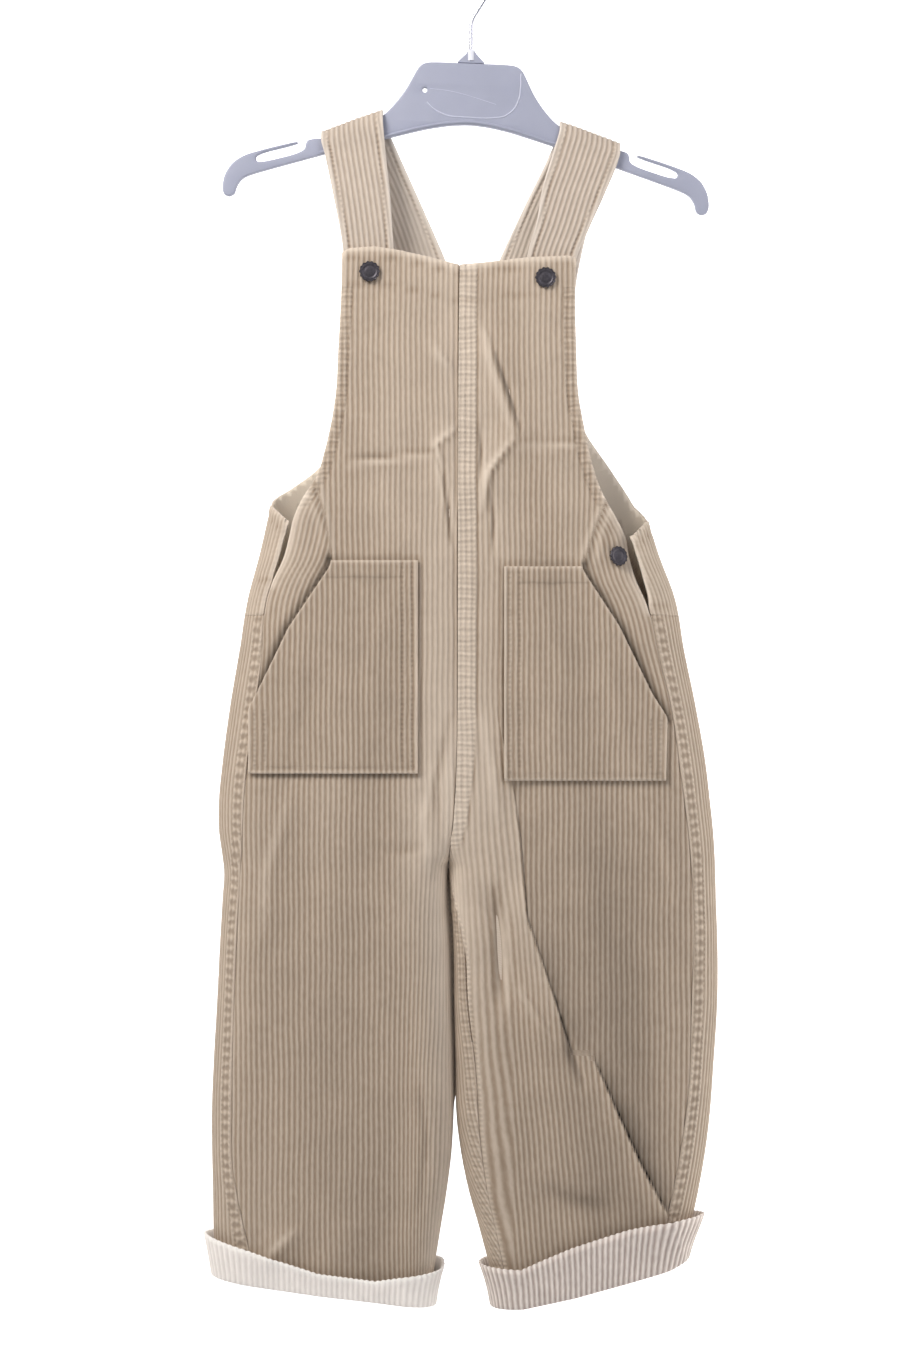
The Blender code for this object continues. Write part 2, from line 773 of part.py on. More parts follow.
def hanger_frame():
    lift = Matrix.Translation((0, 0, -COLLAR_BASE * MM))
    return lift @ Matrix.Rotation(math.radians(TILT), 4, "Y")


def hanger_body():
    half = list(HANGER_TOP) + list(HANGER_SLOT) + list(HANGER_END) + list(HANGER_UNDER)
    mirrored = [(-x, d) for x, d in half[-2:0:-1]]
    outline = half + mirrored
    mesh = bmesh.new()
    front = [mesh.verts.new((x * MM, -PLATE / 2 * MM, -d * MM)) for x, d in outline]
    face = mesh.faces.new(front)
    grown = bmesh.ops.extrude_face_region(mesh, geom=[face])
    moved = [v for v in grown["geom"] if isinstance(v, bmesh.types.BMVert)]
    bmesh.ops.translate(mesh, verts=moved, vec=(0, PLATE * MM, 0))
    bmesh.ops.recalc_face_normals(mesh, faces=mesh.faces)
    bmesh.ops.triangulate(mesh, faces=mesh.faces)
    piece = finished("hanger_body", mesh)
    piece.matrix_world = hanger_frame()
    x, d, across = HANGER_HOLE
    flat = Matrix.Translation((x * MM, 0, -d * MM)) @ Matrix.Rotation(math.pi / 2, 4, "X")
    cut_by(piece, round_cutter("hole_cutter", across / 2, PLATE * 3, hanger_frame() @ flat))
    return piece


def hanger_collar():
    mesh = bmesh.new()
    levels = ((8.0, 2.4, SEAM - 0.9), (8.0, 2.4, 0.0), (2.6, 2.4, 5.6), (2.4, 2.4, 6.6))
    rings = []
    for half_x, half_y, up in levels:
        corners = ((-half_x, -half_y), (half_x, -half_y), (half_x, half_y), (-half_x, half_y))
        rings.append([mesh.verts.new((x * MM, y * MM, up * MM)) for x, y in corners])
    for a, b in zip(rings, rings[1:]):
        for k in range(4):
            mesh.faces.new((a[k], a[(k + 1) % 4], b[(k + 1) % 4], b[k]))
    mesh.faces.new(rings[0])
    mesh.faces.new(rings[-1])
    bmesh.ops.recalc_face_normals(mesh, faces=mesh.faces)
    bmesh.ops.triangulate(mesh, faces=mesh.faces)
    piece = finished("hanger_collar", mesh)
    piece.matrix_world = hanger_frame()
    bore = Matrix.Translation((0, 0, -SHANK_END * MM + 8 * MM - SEAM * MM))
    cut_by(piece, round_cutter("bore_cutter", HOOK_WIRE / 2 + SEAM, 16, bore))
    return piece


def hook_route():
    centre = Vector((0, HOOK_WIRE / 2 - HOOK_RADIUS))
    bend = Vector((0, -SHANK_BEND))
    apart = (centre - bend).length
    lean = math.asin(HOOK_RADIUS / apart)
    reach = math.sqrt(apart ** 2 - HOOK_RADIUS ** 2)
    route = [Vector((0, -SHANK_END)), Vector((0, -SHANK_BEND - 4))]
    direction = Vector((math.sin(lean), math.cos(lean)))
    for t in (0.25, 0.5, 0.75):
        start = Vector((0, -SHANK_BEND - 4))
        end = bend + direction * 4
        route.append(start * (1 - t) ** 2 + bend * 2 * t * (1 - t) + end * t * t)
    for along in (4, reach * 0.55):
        route.append(bend + direction * along)
    for degrees in range(-int(math.degrees(lean)), int(HOOK_END_ANGLE) + 1, 8):
        angle = math.radians(degrees)
        route.append(centre + Vector((math.cos(angle), math.sin(angle))) * HOOK_RADIUS)
    return route


def hanger_hook():
    route = hook_route()
    curve = bpy.data.curves.new("hanger_hook", "CURVE")
    curve.dimensions = "3D"
    curve.bevel_depth = HOOK_WIRE / 2 * MM
    curve.bevel_resolution = 2
    curve.use_fill_caps = True
    line = curve.splines.new("POLY")
    line.points.add(len(route) - 1)
    for place, point in zip(line.points, route):
        place.co = (point.x * MM, 0, point.y * MM, 1)
    piece = bpy.data.objects.new("hanger_hook", curve)
    bpy.context.scene.collection.objects.link(piece)
    return piece


# Materials: corduroy, dark press fasteners, frosted plastic, bright wire

def material(name, colour, roughness, metallic=0.0):
    made = bpy.data.materials.new(name)
    made.use_nodes = True
    shader = made.node_tree.nodes["Principled BSDF"]
    shader.inputs["Base Color"].default_value = (*colour, 1)
    shader.inputs["Roughness"].default_value = roughness
    shader.inputs["Metallic"].default_value = metallic
    return made


def dress(piece, made):
    piece.data.materials.append(made)


def main():
    for old in list(bpy.data.objects):
        bpy.data.objects.remove(old, do_unlink=True)
    corduroy = ((0.42, 0.33, 0.23), 0.9, 0.0)
    gunmetal = ((0.10, 0.09, 0.10), 0.4, 0.8)
    plastic = ((0.47, 0.49, 0.58), 0.4, 0.0)
    steel = ((0.75, 0.75, 0.77), 0.25, 1.0)
    pieces = []
    for side in SIDES:
        for make in (front_panel, back_panel, side_placket, pocket, cuff, strap):
            pieces.append((make(side), corduroy))
        x, down, across = BIB_SNAPS[side]
        pieces.append((snap("bib_snap_" + side, side, x, down, across, BIB_SNAP_CLEAR), gunmetal))
    x, down, across = SIDE_SNAP
    pieces.append((snap("side_snap_right", "right", x, down, across, SIDE_SNAP_CLEAR), gunmetal))
    pieces.append((hanger_body(), plastic))
    pieces.append((hanger_collar(), plastic))
    pieces.append((hanger_hook(), steel))
    for piece, look in pieces:
        dress(piece, material(piece.name, *look))


main()
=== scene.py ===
# %% [markdown]
# # Child's corduroy dungarees on a hanger
# Each piece of cloth is a closed thin shell on the form of its CAD solid, with the corduroy's ribs
# (its wales) raised in the mesh. Below, lengths are millimetres and "down" is the drop below the
# hook's seat. They turn to metres when a mesh is made. Left and right are as the viewer sees them.
#
# Cloth could be made with a cloth simulation, but a simulated hang never lands on the photo's own
# folds. Here each sheet is laid out by formulas on measured sections, so every edge and fold has a
# stated place, and the result is the same each run.

# %% Tools and the CAD frame
import math
import random

import bmesh
import bpy
import numpy as np
from mathutils import Matrix, Vector


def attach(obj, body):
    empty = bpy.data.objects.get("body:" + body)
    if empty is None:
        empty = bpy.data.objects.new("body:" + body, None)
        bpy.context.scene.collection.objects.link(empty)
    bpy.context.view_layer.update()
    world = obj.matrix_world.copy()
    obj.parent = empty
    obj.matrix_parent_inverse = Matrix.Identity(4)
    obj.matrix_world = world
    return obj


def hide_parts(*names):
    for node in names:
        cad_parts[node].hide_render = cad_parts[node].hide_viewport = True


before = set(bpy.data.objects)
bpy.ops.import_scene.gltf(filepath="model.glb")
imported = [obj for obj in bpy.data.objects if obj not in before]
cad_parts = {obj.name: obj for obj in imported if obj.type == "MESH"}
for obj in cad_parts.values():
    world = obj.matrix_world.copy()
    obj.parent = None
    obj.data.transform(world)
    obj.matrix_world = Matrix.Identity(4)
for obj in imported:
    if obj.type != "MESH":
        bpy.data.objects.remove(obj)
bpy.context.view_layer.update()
print("CAD nodes:", len(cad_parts))

# %% [markdown]
# ## The garment's cut
# A real pattern cutter starts from flat paper pieces. A model starts better from the garment as it
# hangs: its outline at many drops, and the curves of its edges. The tables give the same sections and
# edges as the CAD, so each visual piece lies on its solid.

# %% Sizes and tables of the cut
MM = 0.001
WALL = 2.0
SEAM = 0.3
FOLD_GAP = 0.5
WALE = 3.175
SIDES = {"left": -1, "right": 1}
CROTCH_TOP = 526.0
CROTCH = 555.0
PLACKET_END = 408.0
FELL_WIDTH = 10.5
FELL_END = 546.0
BIB_SIDES_START = 212.0
ARMHOLE_START = 214.0
ARMHOLE_END = 345.0

BODY_COLUMNS = ("down", "l_in", "l_back", "l_out", "r_in", "r_back", "r_out")
BODY = (
    (180, -6.5, 0.2, -120.6, -6.5, 0.2, 104.0),
    (219, -7.2, 0.2, -120.6, -7.2, 0.2, 104.0),
    (309, -7.8, 0.0, -120.6, -7.8, 0.0, 104.0),
    (342, -7.9, -0.4, -120.6, -7.9, -0.4, 104.5),
    (369, -8.0, -0.8, -126.0, -8.0, -0.8, 111.5),
    (399, -8.1, -1.4, -133.8, -8.1, -1.4, 122.4),
    (429, -8.1, -2.4, -138.6, -8.1, -2.4, 127.6),
    (459, -8.2, -4.0, -143.7, -8.2, -4.0, 133.8),
    (498, -8.8, -7.0, -149.0, -8.8, -7.0, 140.7),
    (519, -9.8, -9.4, -151.0, -9.8, -9.4, 143.1),
    (537, -11.3, -11.3, -151.0, -11.3, -11.3, 145.0),
    (552, -13.2, -13.2, -149.0, -13.2, -13.2, 146.0),
    (561, -14.6, -14.6, -147.9, -13.2, -13.2, 146.3),
    (579, -15.0, -15.0, -148.9, -12.0, -12.0, 146.8),
    (603, -13.6, -13.6, -150.3, -10.8, -10.8, 147.6),
    (639, -12.4, -12.4, -152.1, -10.5, -10.5, 147.6),
    (675, -11.2, -11.2, -154.2, -9.6, -9.6, 145.4),
    (710, -10.4, -10.4, -155.4, -8.5, -8.5, 142.8),
    (729, -11.4, -11.4, -155.2, -6.0, -6.0, 140.4),
    (753, -14.4, -14.4, -154.6, -1.2, -1.2, 136.2),
    (777, -18.6, -18.6, -154.2, 5.4, 5.4, 131.0),
    (807, -23.0, -23.0, -152.6, 12.6, 12.6, 125.5),
    (830, -24.0, -24.0, -151.6, 15.0, 15.0, 122.0),
)
DEPTH_COLUMNS = ("down", "front", "back", "round_out", "round_in", "l_turn", "r_turn")
DEPTH = (
    (180, 15.0, 12.0, 30.0, 20.0, 0.0, 0.0),
    (309, 20.0, 15.0, 28.0, 20.0, 0.0, 0.0),
    (369, 24.0, 19.0, 26.0, 20.0, 0.0, 0.0),
    (459, 25.0, 23.0, 26.0, 20.0, 0.0, 0.0),
    (552, 25.0, 24.0, 26.0, 20.0, 0.0, 0.0),
    (603, 24.0, 23.0, 25.0, 22.0, -5.0, 17.0),
    (639, 23.0, 22.0, 25.0, 22.0, -6.0, 20.0),
    (690, 22.0, 21.0, 24.0, 22.0, -6.0, 24.0),
    (753, 21.0, 20.0, 23.0, 20.0, -6.0, 22.0),
    (830, 20.0, 19.0, 22.0, 18.0, -6.0, 16.0),
)
FRONT_EDGE_COLUMNS = ("down", "left", "right")
FRONT_EDGE = (
    (180, -77.0, 64.0),
    (213, -77.4, 62.2),
    (249, -79.2, 62.7),
    (279, -81.0, 64.2),
    (297, -84.0, 67.4),
    (312, -87.6, 70.4),
    (326, -92.0, 74.2),
    (339, -100.6, 79.6),
    (351, -106.0, 86.6),
    (361, -108.2, 92.0),
    (375, -112.0, 95.0),
    (388, -118.2, 98.6),
    (400, -122.0, 103.6),
    (412, -123.6, 107.2),
    (431, -124.2, 111.0),
    (459, -127.8, 118.0),
    (498, -133.2, 123.8),
    (555, -136.8, 130.6),
    (579, -138.4, 132.0),
    (639, -141.0, 131.0),
    (699, -142.2, 128.4),
    (740, -141.4, 122.0),
    (762, -137.4, 117.4),
    (790, -131.0, 111.0),
    (830, -126.0, 106.0),
)
BACK_EDGE_COLUMNS = ("down", "left", "right")
BACK_EDGE = (
    (225, -63.4, 60.6),
    (267, -65.4, 62.4),
    (296, -75.6, 68.4),
    (320, -93.0, 84.6),
    (341, -119.0, 98.0),
    (350, -120.6, 102.2),
)
BIB_TOP_COLUMNS = ("x", "down")
BIB_TOP = (
    (-80.0, 193.2),
    (-76.8, 192.2),
    (-72.6, 189.8),
    (-57.6, 188.6),
    (-42.0, 191.0),
    (-24.6, 195.0),
    (-6.6, 199.6),
    (8.4, 198.0),
    (33.0, 195.3),
    (58.8, 194.2),
    (64.0, 196.8),
)
BACK_TOP = 234.0
HEM_COLUMNS = ("x", "bottom", "top_front", "top_back")
HEM = {
    "left": (
        (-158.0, 803.0, 776.6, 777.0),
        (-130.0, 807.4, 786.0, 783.0),
        (-91.0, 813.0, 799.0, 789.0),
        (-57.0, 817.0, 803.5, 793.0),
        (-20.0, 822.0, 798.8, 795.0),
    ),
    "right": (
        (10.0, 822.6, 796.4, 796.0),
        (30.0, 821.0, 797.0, 793.0),
        (61.0, 814.4, 783.6, 787.0),
        (92.0, 806.0, 773.0, 778.0),
        (118.0, 798.4, 767.0, 769.0),
        (137.0, 789.0, 765.0, 764.0),
    ),
}
CUFF_CLEAR = 0.9
CUFF_FLARE = 3.0
CURL = 9.0
CURL_CENTRE = 372.0
CURL_LENGTH = 18.0
CURL_WIDTH = 15.0
print("sections:", len(BODY), "from", BODY[0][0], "to", BODY[-1][0], "mm down")

# %% [markdown]
# The solids' largest folds come first. Below them are the photo's creases, which only the visual
# cloth has. A crease runs through its points as a ridge (height above 0) or a trough, and it is
# steeper on the side that the second width gives.

# %% Folds and creases
# x and drop of a fold's start, the same of its end, its spread and its rise
FOLDS = (
    (30.0, 587.0, 52.0, 650.0, 13.0, 4.5),
    (52.0, 650.0, 92.0, 708.0, 13.0, 4.5),
    (92.0, 708.0, 117.0, 766.0, 12.0, 4.0),
    (17.0, 585.0, 17.5, 632.0, 10.0, -3.5),
    (53.0, 751.0, 77.0, 762.0, 11.0, -3.0),
    (28.0, 519.0, 32.0, 556.0, 12.0, -2.5),
    (-22.0, 250.0, -10.0, 340.0, 12.0, 2.0),
    (12.0, 258.0, 25.0, 305.0, 11.0, 2.2),
    (25.0, 305.0, 7.0, 333.0, 11.0, 2.2),
    (-120.0, 789.0, -103.0, 774.0, 11.0, 2.0),
    (-96.0, 560.0, -92.0, 690.0, 22.0, -2.5),
)
FOLD_HIGHEST = 5.0
FOLD_DEEPEST = -4.0

# Width on the left of its run, width on the right, height, points (x, down)
FRONT_CREASES = (
    (1.8, 1.3, -1.5, ((-72.0, 315.4), (-50.0, 314.0), (-36.0, 312.6), (-22.2, 311.4))),
    (3.0, 1.8, 1.2, ((-70.0, 319.6), (-46.0, 317.6), (-24.0, 316.0))),
    (3.5, 2.0, 1.3, ((-21.6, 249.6), (-16.0, 256.0), (-10.8, 262.2))),
    (2.6, 1.6, 1.8, ((-9.6, 298.8), (-20.0, 307.0), (-17.4, 322.2), (-14.0, 344.0))),
    (1.4, 2.0, -2.0, ((-21.0, 312.0), (-16.4, 326.0), (-13.6, 344.0), (-11.0, 366.0))),
    (3.4, 1.8, 2.0, ((9.0, 240.0), (13.0, 258.0), (19.0, 276.0), (26.0, 300.0))),
    (1.2, 2.4, -1.6, ((15.0, 254.0), (22.6, 276.0), (29.4, 298.0))),
    (2.6, 1.8, 2.0, ((25.8, 305.0), (19.0, 313.0), (11.0, 324.0), (7.6, 345.0))),
    (1.4, 1.6, -1.4, ((5.4, 296.0), (6.4, 312.0), (5.0, 330.0))),
    (1.4, 1.2, -1.2, ((27.6, 306.4), (45.0, 306.6), (65.4, 305.4))),
    (2.4, 1.6, 1.0, ((31.0, 309.6), (48.0, 310.0), (64.0, 308.6))),
    (1.4, 2.0, -1.3, ((12.0, 336.0), (13.6, 352.0), (12.6, 372.0))),
    (3.2, 4.4, -2.3, ((15.4, 572.0), (16.4, 592.0), (17.2, 614.0), (17.1, 636.0))),
    (3.4, 2.4, 1.4, ((20.5, 586.0), (22.0, 612.0), (23.0, 642.0))),
    (3.4, 2.2, -2.6, ((54.0, 648.0), (60.0, 668.0), (66.6, 686.0))),
    (3.0, 1.4, 1.8, ((30.0, 630.6), (37.0, 641.0), (44.4, 653.4))),
    (5.5, 4.5, -1.7, ((50.0, 751.2), (64.0, 757.0), (80.0, 760.8))),
    (3.5, 2.5, 1.4, ((-120.0, 789.6), (-103.8, 774.0))),
    (3.0, 3.0, -0.9, ((-56.0, 545.0), (-40.0, 549.0), (-28.0, 546.0))),
    (4.0, 4.0, 0.9, ((-108.0, 520.0), (-120.0, 560.0), (-122.0, 600.0))),
    (3.0, 4.0, -1.1, ((-12.0, 470.0), (-20.0, 510.0), (-17.0, 545.0))),
    (3.0, 3.0, 1.0, ((-22.0, 500.0), (-27.0, 530.0), (-24.0, 560.0))),
    (3.5, 3.5, 1.1, ((8.0, 470.0), (14.0, 500.0), (17.0, 530.0))),
    (3.0, 3.0, -1.0, ((-30.0, 690.0), (-26.0, 720.0), (-30.0, 760.0))),
    (4.0, 4.0, 0.8, ((96.0, 520.0), (112.0, 540.0), (122.0, 575.0))),
    (3.0, 3.0, 1.2, ((-96.0, 338.0), (-88.0, 352.0), (-84.0, 372.0))),
    (3.0, 3.0, 1.2, ((84.0, 345.0), (78.0, 360.0), (76.0, 376.0))),
)
BACK_CREASES = (
    (4.0, 3.0, 1.5, ((-60.0, 330.0), (-30.0, 352.0), (-4.0, 360.0))),
    (4.0, 4.0, 1.4, ((52.0, 326.0), (30.0, 348.0), (4.0, 360.0))),
    (3.0, 4.0, -1.6, ((-70.0, 372.0), (-40.0, 380.0), (-8.0, 378.0))),
    (3.0, 4.0, -1.5, ((70.0, 370.0), (36.0, 382.0), (6.0, 380.0))),
    (4.0, 3.0, 1.8, ((-96.0, 470.0), (-60.0, 505.0), (-20.0, 548.0))),
    (4.0, 3.0, 1.8, ((92.0, 470.0), (56.0, 505.0), (10.0, 548.0))),
    (3.0, 3.0, -1.6, ((-80.0, 500.0), (-50.0, 528.0), (-24.0, 566.0))),
    (3.0, 3.0, -1.6, ((78.0, 496.0), (50.0, 524.0), (18.0, 566.0))),
    (4.0, 2.5, 1.8, ((-40.0, 640.0), (-70.0, 690.0), (-112.0, 750.0))),
    (2.5, 4.0, 1.8, ((32.0, 640.0), (58.0, 690.0), (100.0, 748.0))),
    (3.0, 4.0, -1.6, ((-62.0, 640.0), (-84.0, 690.0), (-126.0, 730.0))),
    (4.0, 3.0, -1.6, ((52.0, 640.0), (76.0, 690.0), (116.0, 726.0))),
    (3.0, 3.0, 1.0, ((-34.0, 252.0), (-30.0, 300.0), (-38.0, 330.0))),
    (3.0, 3.0, 1.0, ((30.0, 250.0), (34.0, 296.0), (26.0, 326.0))),
)
print("creases:", len(FRONT_CREASES), "on the front,", len(BACK_CREASES), "on the back")

# %% [markdown]
# ## Reading the tables
# Everything below takes whole arrays of points at once. `hump`, `until` and `after` shape most of the
# small forms: a seam's groove is a hump of its distance from the seam, kept to its stretch by the
# other two.

# %% Reading the tables
def column(rows, names, name):
    place = names.index(name)
    return np.array([row[place] for row in rows], dtype=float)


def smooth(at, xs, ys):
    """A smooth curve through the points xs, ys."""
    slopes = np.gradient(ys, xs)
    at = np.clip(at, xs[0], xs[-1])
    i = np.clip(np.searchsorted(xs, at) - 1, 0, len(xs) - 2)
    width = xs[i + 1] - xs[i]
    t = (at - xs[i]) / width
    low = ys[i] * (1 + 2 * t) * (1 - t) ** 2 + slopes[i] * width * t * (1 - t) ** 2
    return low + ys[i + 1] * t * t * (3 - 2 * t) - slopes[i + 1] * width * t * t * (1 - t)


def hump(away, width):
    """1 where away is 0, and falling smoothly to nothing on both sides of it"""
    return np.exp(-(away / width) ** 2)


def until(down, end, over):
    """1 above the drop `end` and 0 below it, changing over about four times `over`"""
    return 1 / (1 + np.exp((down - end) / over))


def after(down, start, over):
    """0 above the drop `start` and 1 below it"""
    return 1 / (1 + np.exp(-(down - start) / over))


def body(side, name, down):
    return smooth(down, column(BODY, BODY_COLUMNS, "down"),
                  column(BODY, BODY_COLUMNS, side[0] + "_" + name))


def depth(name, down):
    return smooth(down, column(DEPTH, DEPTH_COLUMNS, "down"), column(DEPTH, DEPTH_COLUMNS, name))


def front_edge(side, down):
    return smooth(down, column(FRONT_EDGE, FRONT_EDGE_COLUMNS, "down"),
                  column(FRONT_EDGE, FRONT_EDGE_COLUMNS, side))


def back_edge(side, down):
    return smooth(down, column(BACK_EDGE, BACK_EDGE_COLUMNS, "down"),
                  column(BACK_EDGE, BACK_EDGE_COLUMNS, side))


def bib_top(x):
    return np.interp(x, column(BIB_TOP, BIB_TOP_COLUMNS, "x"), column(BIB_TOP, BIB_TOP_COLUMNS, "down"))


def hem(side, name, x):
    return np.interp(x, column(HEM[side], HEM_COLUMNS, "x"), column(HEM[side], HEM_COLUMNS, name))


# %% [markdown]
# A trouser leg is a tube, so it could be lofted from curves. But the sheets need a length along the
# cloth, because wales and seams follow the cloth and not the x axis. So a half of the garment is a
# stack of rings, each from the centre front round the side to the centre back. `s` is the length
# along the ring, and `outline` the length at which it turns to the back.

# %% Rings of cloth round each half
RING_STEP = 2.0
RING_POINTS = 721
LOWEST_RING = 832.0


def ring_half(down, t, x_in, x_out, deep, closed):
    width = abs(x_out - x_in)
    near_out = np.minimum(1.0, (1 - t) * width / depth("round_out", down))
    near_in = np.minimum(1.0, t * width / depth("round_in", down))
    cap = np.sqrt(1 - (1 - near_out) ** 2)
    inside = 1 - closed + closed * np.sqrt(1 - (1 - near_in) ** 2)
    crown = 0.94 + 0.06 * np.sin(math.pi * t)
    return x_in + (x_out - x_in) * t, deep * cap * inside * crown


# %% One half of the garment
MEET_DEPTH = 9.0
MEET_SWELL = {"left": 5.4, "right": 1.6}


class Half:
    """One half of the garment as a table of rings, read at any length and drop."""

    def __init__(self, side):
        self.side = side
        sign = SIDES[side]
        self.downs = np.arange(180.0, LOWEST_RING, RING_STEP)
        t = (1 - np.cos(np.linspace(0, math.pi, 361))) / 2
        names = ("x", "y", "total", "outline", "closed")
        table = {name: [] for name in names}
        self.front = []
        self.back = []
        for down in self.downs:
            turn = min(max((down - CROTCH_TOP) / (CROTCH - CROTCH_TOP), 0.0), 1.0)
            closed = 1.0 - math.sqrt(1.0 - turn * turn)
            x_front = body(side, "in", down) + sign * SEAM / 2
            x_back = body(side, "back", down) + sign * SEAM / 2
            x_out = body(side, "out", down)
            fx, fy = ring_half(down, t, x_front, x_out, -depth("front", down), closed)
            bx, by = ring_half(down, t, x_back, x_out, depth("back", down), closed)
            x = np.concatenate([fx, bx[-2::-1]])
            y = np.concatenate([fy, by[-2::-1]])
            s = np.concatenate([[0.0], np.cumsum(np.hypot(np.diff(x), np.diff(y)))])
            even = np.linspace(0, s[-1], RING_POINTS)
            row = (np.interp(even, s, x), np.interp(even, s, y), s[-1], s[360], closed)
            for name, value in zip(names, row):
                table[name].append(value)
            self.front.append((fx, s[:361]))
            self.back.append((bx[::-1], s[360:]))
        for name in names:
            setattr(self, name, np.array(table[name]))

    def per_row(self, values, down):
        return np.interp(down, self.downs, values)

    def s_of_x(self, x_rows, on_front=True):
        """Length on each ring of the table at which its front (or back) is at x."""
        found = []
        runs = self.front if on_front else self.back
        for (xs, ss), x in zip(runs, np.broadcast_to(x_rows, self.downs.shape)):
            order = np.argsort(xs)
            found.append(np.interp(x, xs[order], ss[order]))
        return np.array(found)

    def at(self, s, down):
        s = np.asarray(s, dtype=float)
        place = np.clip((np.asarray(down, dtype=float) - self.downs[0]) / RING_STEP, 0,
                        len(self.downs) - 1.001)
        j = place.astype(int)
        share = place - j
        x = 0.0
        y = 0.0
        for row, weight in ((j, 1 - share), (j + 1, share)):
            total = self.total[row]
            around = np.where(self.closed[row] > 0.999, s % total, np.clip(s, 0.0, total))
            q = np.clip(around / total * (RING_POINTS - 1), 0, RING_POINTS - 1.001)
            i = q.astype(int)
            f = q - i
            x = x + weight * (self.x[row, i] * (1 - f) + self.x[row, i + 1] * f)
            y = y + weight * (self.y[row, i] * (1 - f) + self.y[row, i + 1] * f)
        return x, y

    def curl_back(self, x, down):
        """The right front's edge curls back round the side opening."""
        if self.side == "left":
            return 0.0
        reach = hump(down - CURL_CENTRE, CURL_LENGTH)
        edge = front_edge(self.side, down)
        past = np.maximum(0.0, 1 - (x - edge) / (body(self.side, "out", down) - edge))
        before = np.maximum(0.0, 1 - (edge - x) / CURL_WIDTH)
        return CURL * reach * np.where(x > edge, past, before) ** 2

    def meet(self, x, y, down):
        """Inside, the left leg's cloth swells behind the right leg's, so that the legs meet."""
        zone = after(down, 560.0, 3.0) / (1 + np.exp((down - 696.0) / 6.0))
        near = hump(x - body(self.side, "in", down), 11.0)
        behind = hump(y - MEET_DEPTH, 6.5)
        return MEET_SWELL[self.side] * zone * near * behind

    def point(self, s, down, on_front):
        x, y = self.at(s, down)
        x = x + self.meet(x, y, down)
        if on_front:
            y = y + self.curl_back(x, down)
        return np.stack([x, y, -np.broadcast_to(down, x.shape)], axis=-1)

    def normal(self, s, down, on_front):
        step = 0.6
        across = self.point(s + step, down, on_front) - self.point(s - step, down, on_front)
        along = self.point(s, down + step, on_front) - self.point(s, down - step, on_front)
        found = np.cross(across, along) * -SIDES[self.side]
        return found / np.linalg.norm(found, axis=-1, keepdims=True)


HALF = {side: Half(side) for side in SIDES}
for side in SIDES:
    print(side, "rings:", len(HALF[side].downs), "widest", round(float(HALF[side].total.max())), "mm round")

# %% [markdown]
# ## Folds, creases and wales as heights above the cloth
# On the real cloth a fold is centimetres wide, a crease a few millimetres, and a wale three. All of
# them are heights added along the normal, which keeps each one in its own small function. Sculpting
# would give freer folds, but none that a script can repeat.

# %% Heights above the cloth
def run_of(points, x, down):
    """For each place: distance to the polyline, the side it is on, and the share of the way along."""
    best = np.full(np.shape(x), 1e9)
    hand = np.zeros(np.shape(x))
    along = np.zeros(np.shape(x))
    lengths = [math.dist(a, b) for a, b in zip(points, points[1:])]
    done = 0.0
    for (x0, d0), (x1, d1), length in zip(points, points[1:], lengths):
        ux, ud = (x1 - x0) / length, (d1 - d0) / length
        t = np.clip((x - x0) * ux + (down - d0) * ud, 0, length)
        away = np.hypot(x - x0 - ux * t, down - d0 - ud * t)
        nearer = away < best
        best = np.where(nearer, away, best)
        hand = np.where(nearer, np.sign((x - x0) * ud - (down - d0) * ux), hand)
        along = np.where(nearer, (done + t) / sum(lengths), along)
        done += length
    return best, hand, along


# %% Folds and creases as heights
def fold_rise(x, down):
    total = 0.0
    for x0, down0, x1, down1, spread, rise in FOLDS:
        away = run_of(((x0, down0), (x1, down1)), x, down)[0]
        total = total + rise * hump(away, spread)
    return np.clip(total, FOLD_DEEPEST, FOLD_HIGHEST)


def crease_rise(creases, x, down):
    total = 0.0
    for left, right, height, points in creases:
        away, hand, along = run_of(points, x, down)
        width = np.where(hand > 0, right, left)
        taper = np.sin(math.pi * np.clip(0.12 + 0.76 * along, 0, 1))
        total = total + height * taper * hump(away, width)
    return total


def ripple(x, down, seed, scale, height):
    """Soft unevenness, so that no stretch of cloth is ruled flat."""
    rng = random.Random(seed)
    total = 0.0
    for _ in range(5):
        angle = rng.uniform(-0.5, 0.5)
        length = scale * rng.uniform(0.6, 1.5)
        shift = rng.uniform(0, math.tau)
        along = x * math.cos(angle) + down * math.sin(angle) * 0.5
        total = total + np.sin(math.tau * along / length + shift)
    return total / 5 * height


def painted_slope_shade(rise, x, down):
    """Painted light and shade: paler on slopes that face left and up, towards the key light, and darker on
    the others and in troughs.
    """
    step = 0.7
    across = (rise(x + step, down) - rise(x - step, down)) / (2 * step)
    along = (rise(x, down + step) - rise(x, down - step)) / (2 * step)
    lean_to = np.clip(0.8 * across + 0.5 * along, -0.8, 0.6)
    return 0.95 * lean_to + 0.25 * np.clip(rise(x, down), -2.0, 0.6)


# %% Wales
WALE_HEIGHT = 0.62


def wander(x, down):
    """The wales run a little unevenly, as brushed pile does."""
    slow = 0.30 * np.sin(down / 37.0 + x / 23.0) + 0.22 * np.sin(down / 17.0 - x / 31.0 + 1.3)
    return slow + 0.12 * np.sin(down / 7.1 + x / 9.0)


def wale_rise(u):
    """A rounded rib with a narrow valley, once a wale."""
    wave = 0.5 + 0.5 * np.cos(math.tau * u / WALE)
    return WALE_HEIGHT * (wave ** 0.7 - 0.62)


print("wale pitch", WALE, "mm, height", WALE_HEIGHT, "mm")

# %% [markdown]
# ## Small tools
# Blender's shaders work with linear light, and colours are easier to name as the sRGB codes seen on a
# screen. `colour` turns a hex code into linear values, and `add` puts one node into a material.

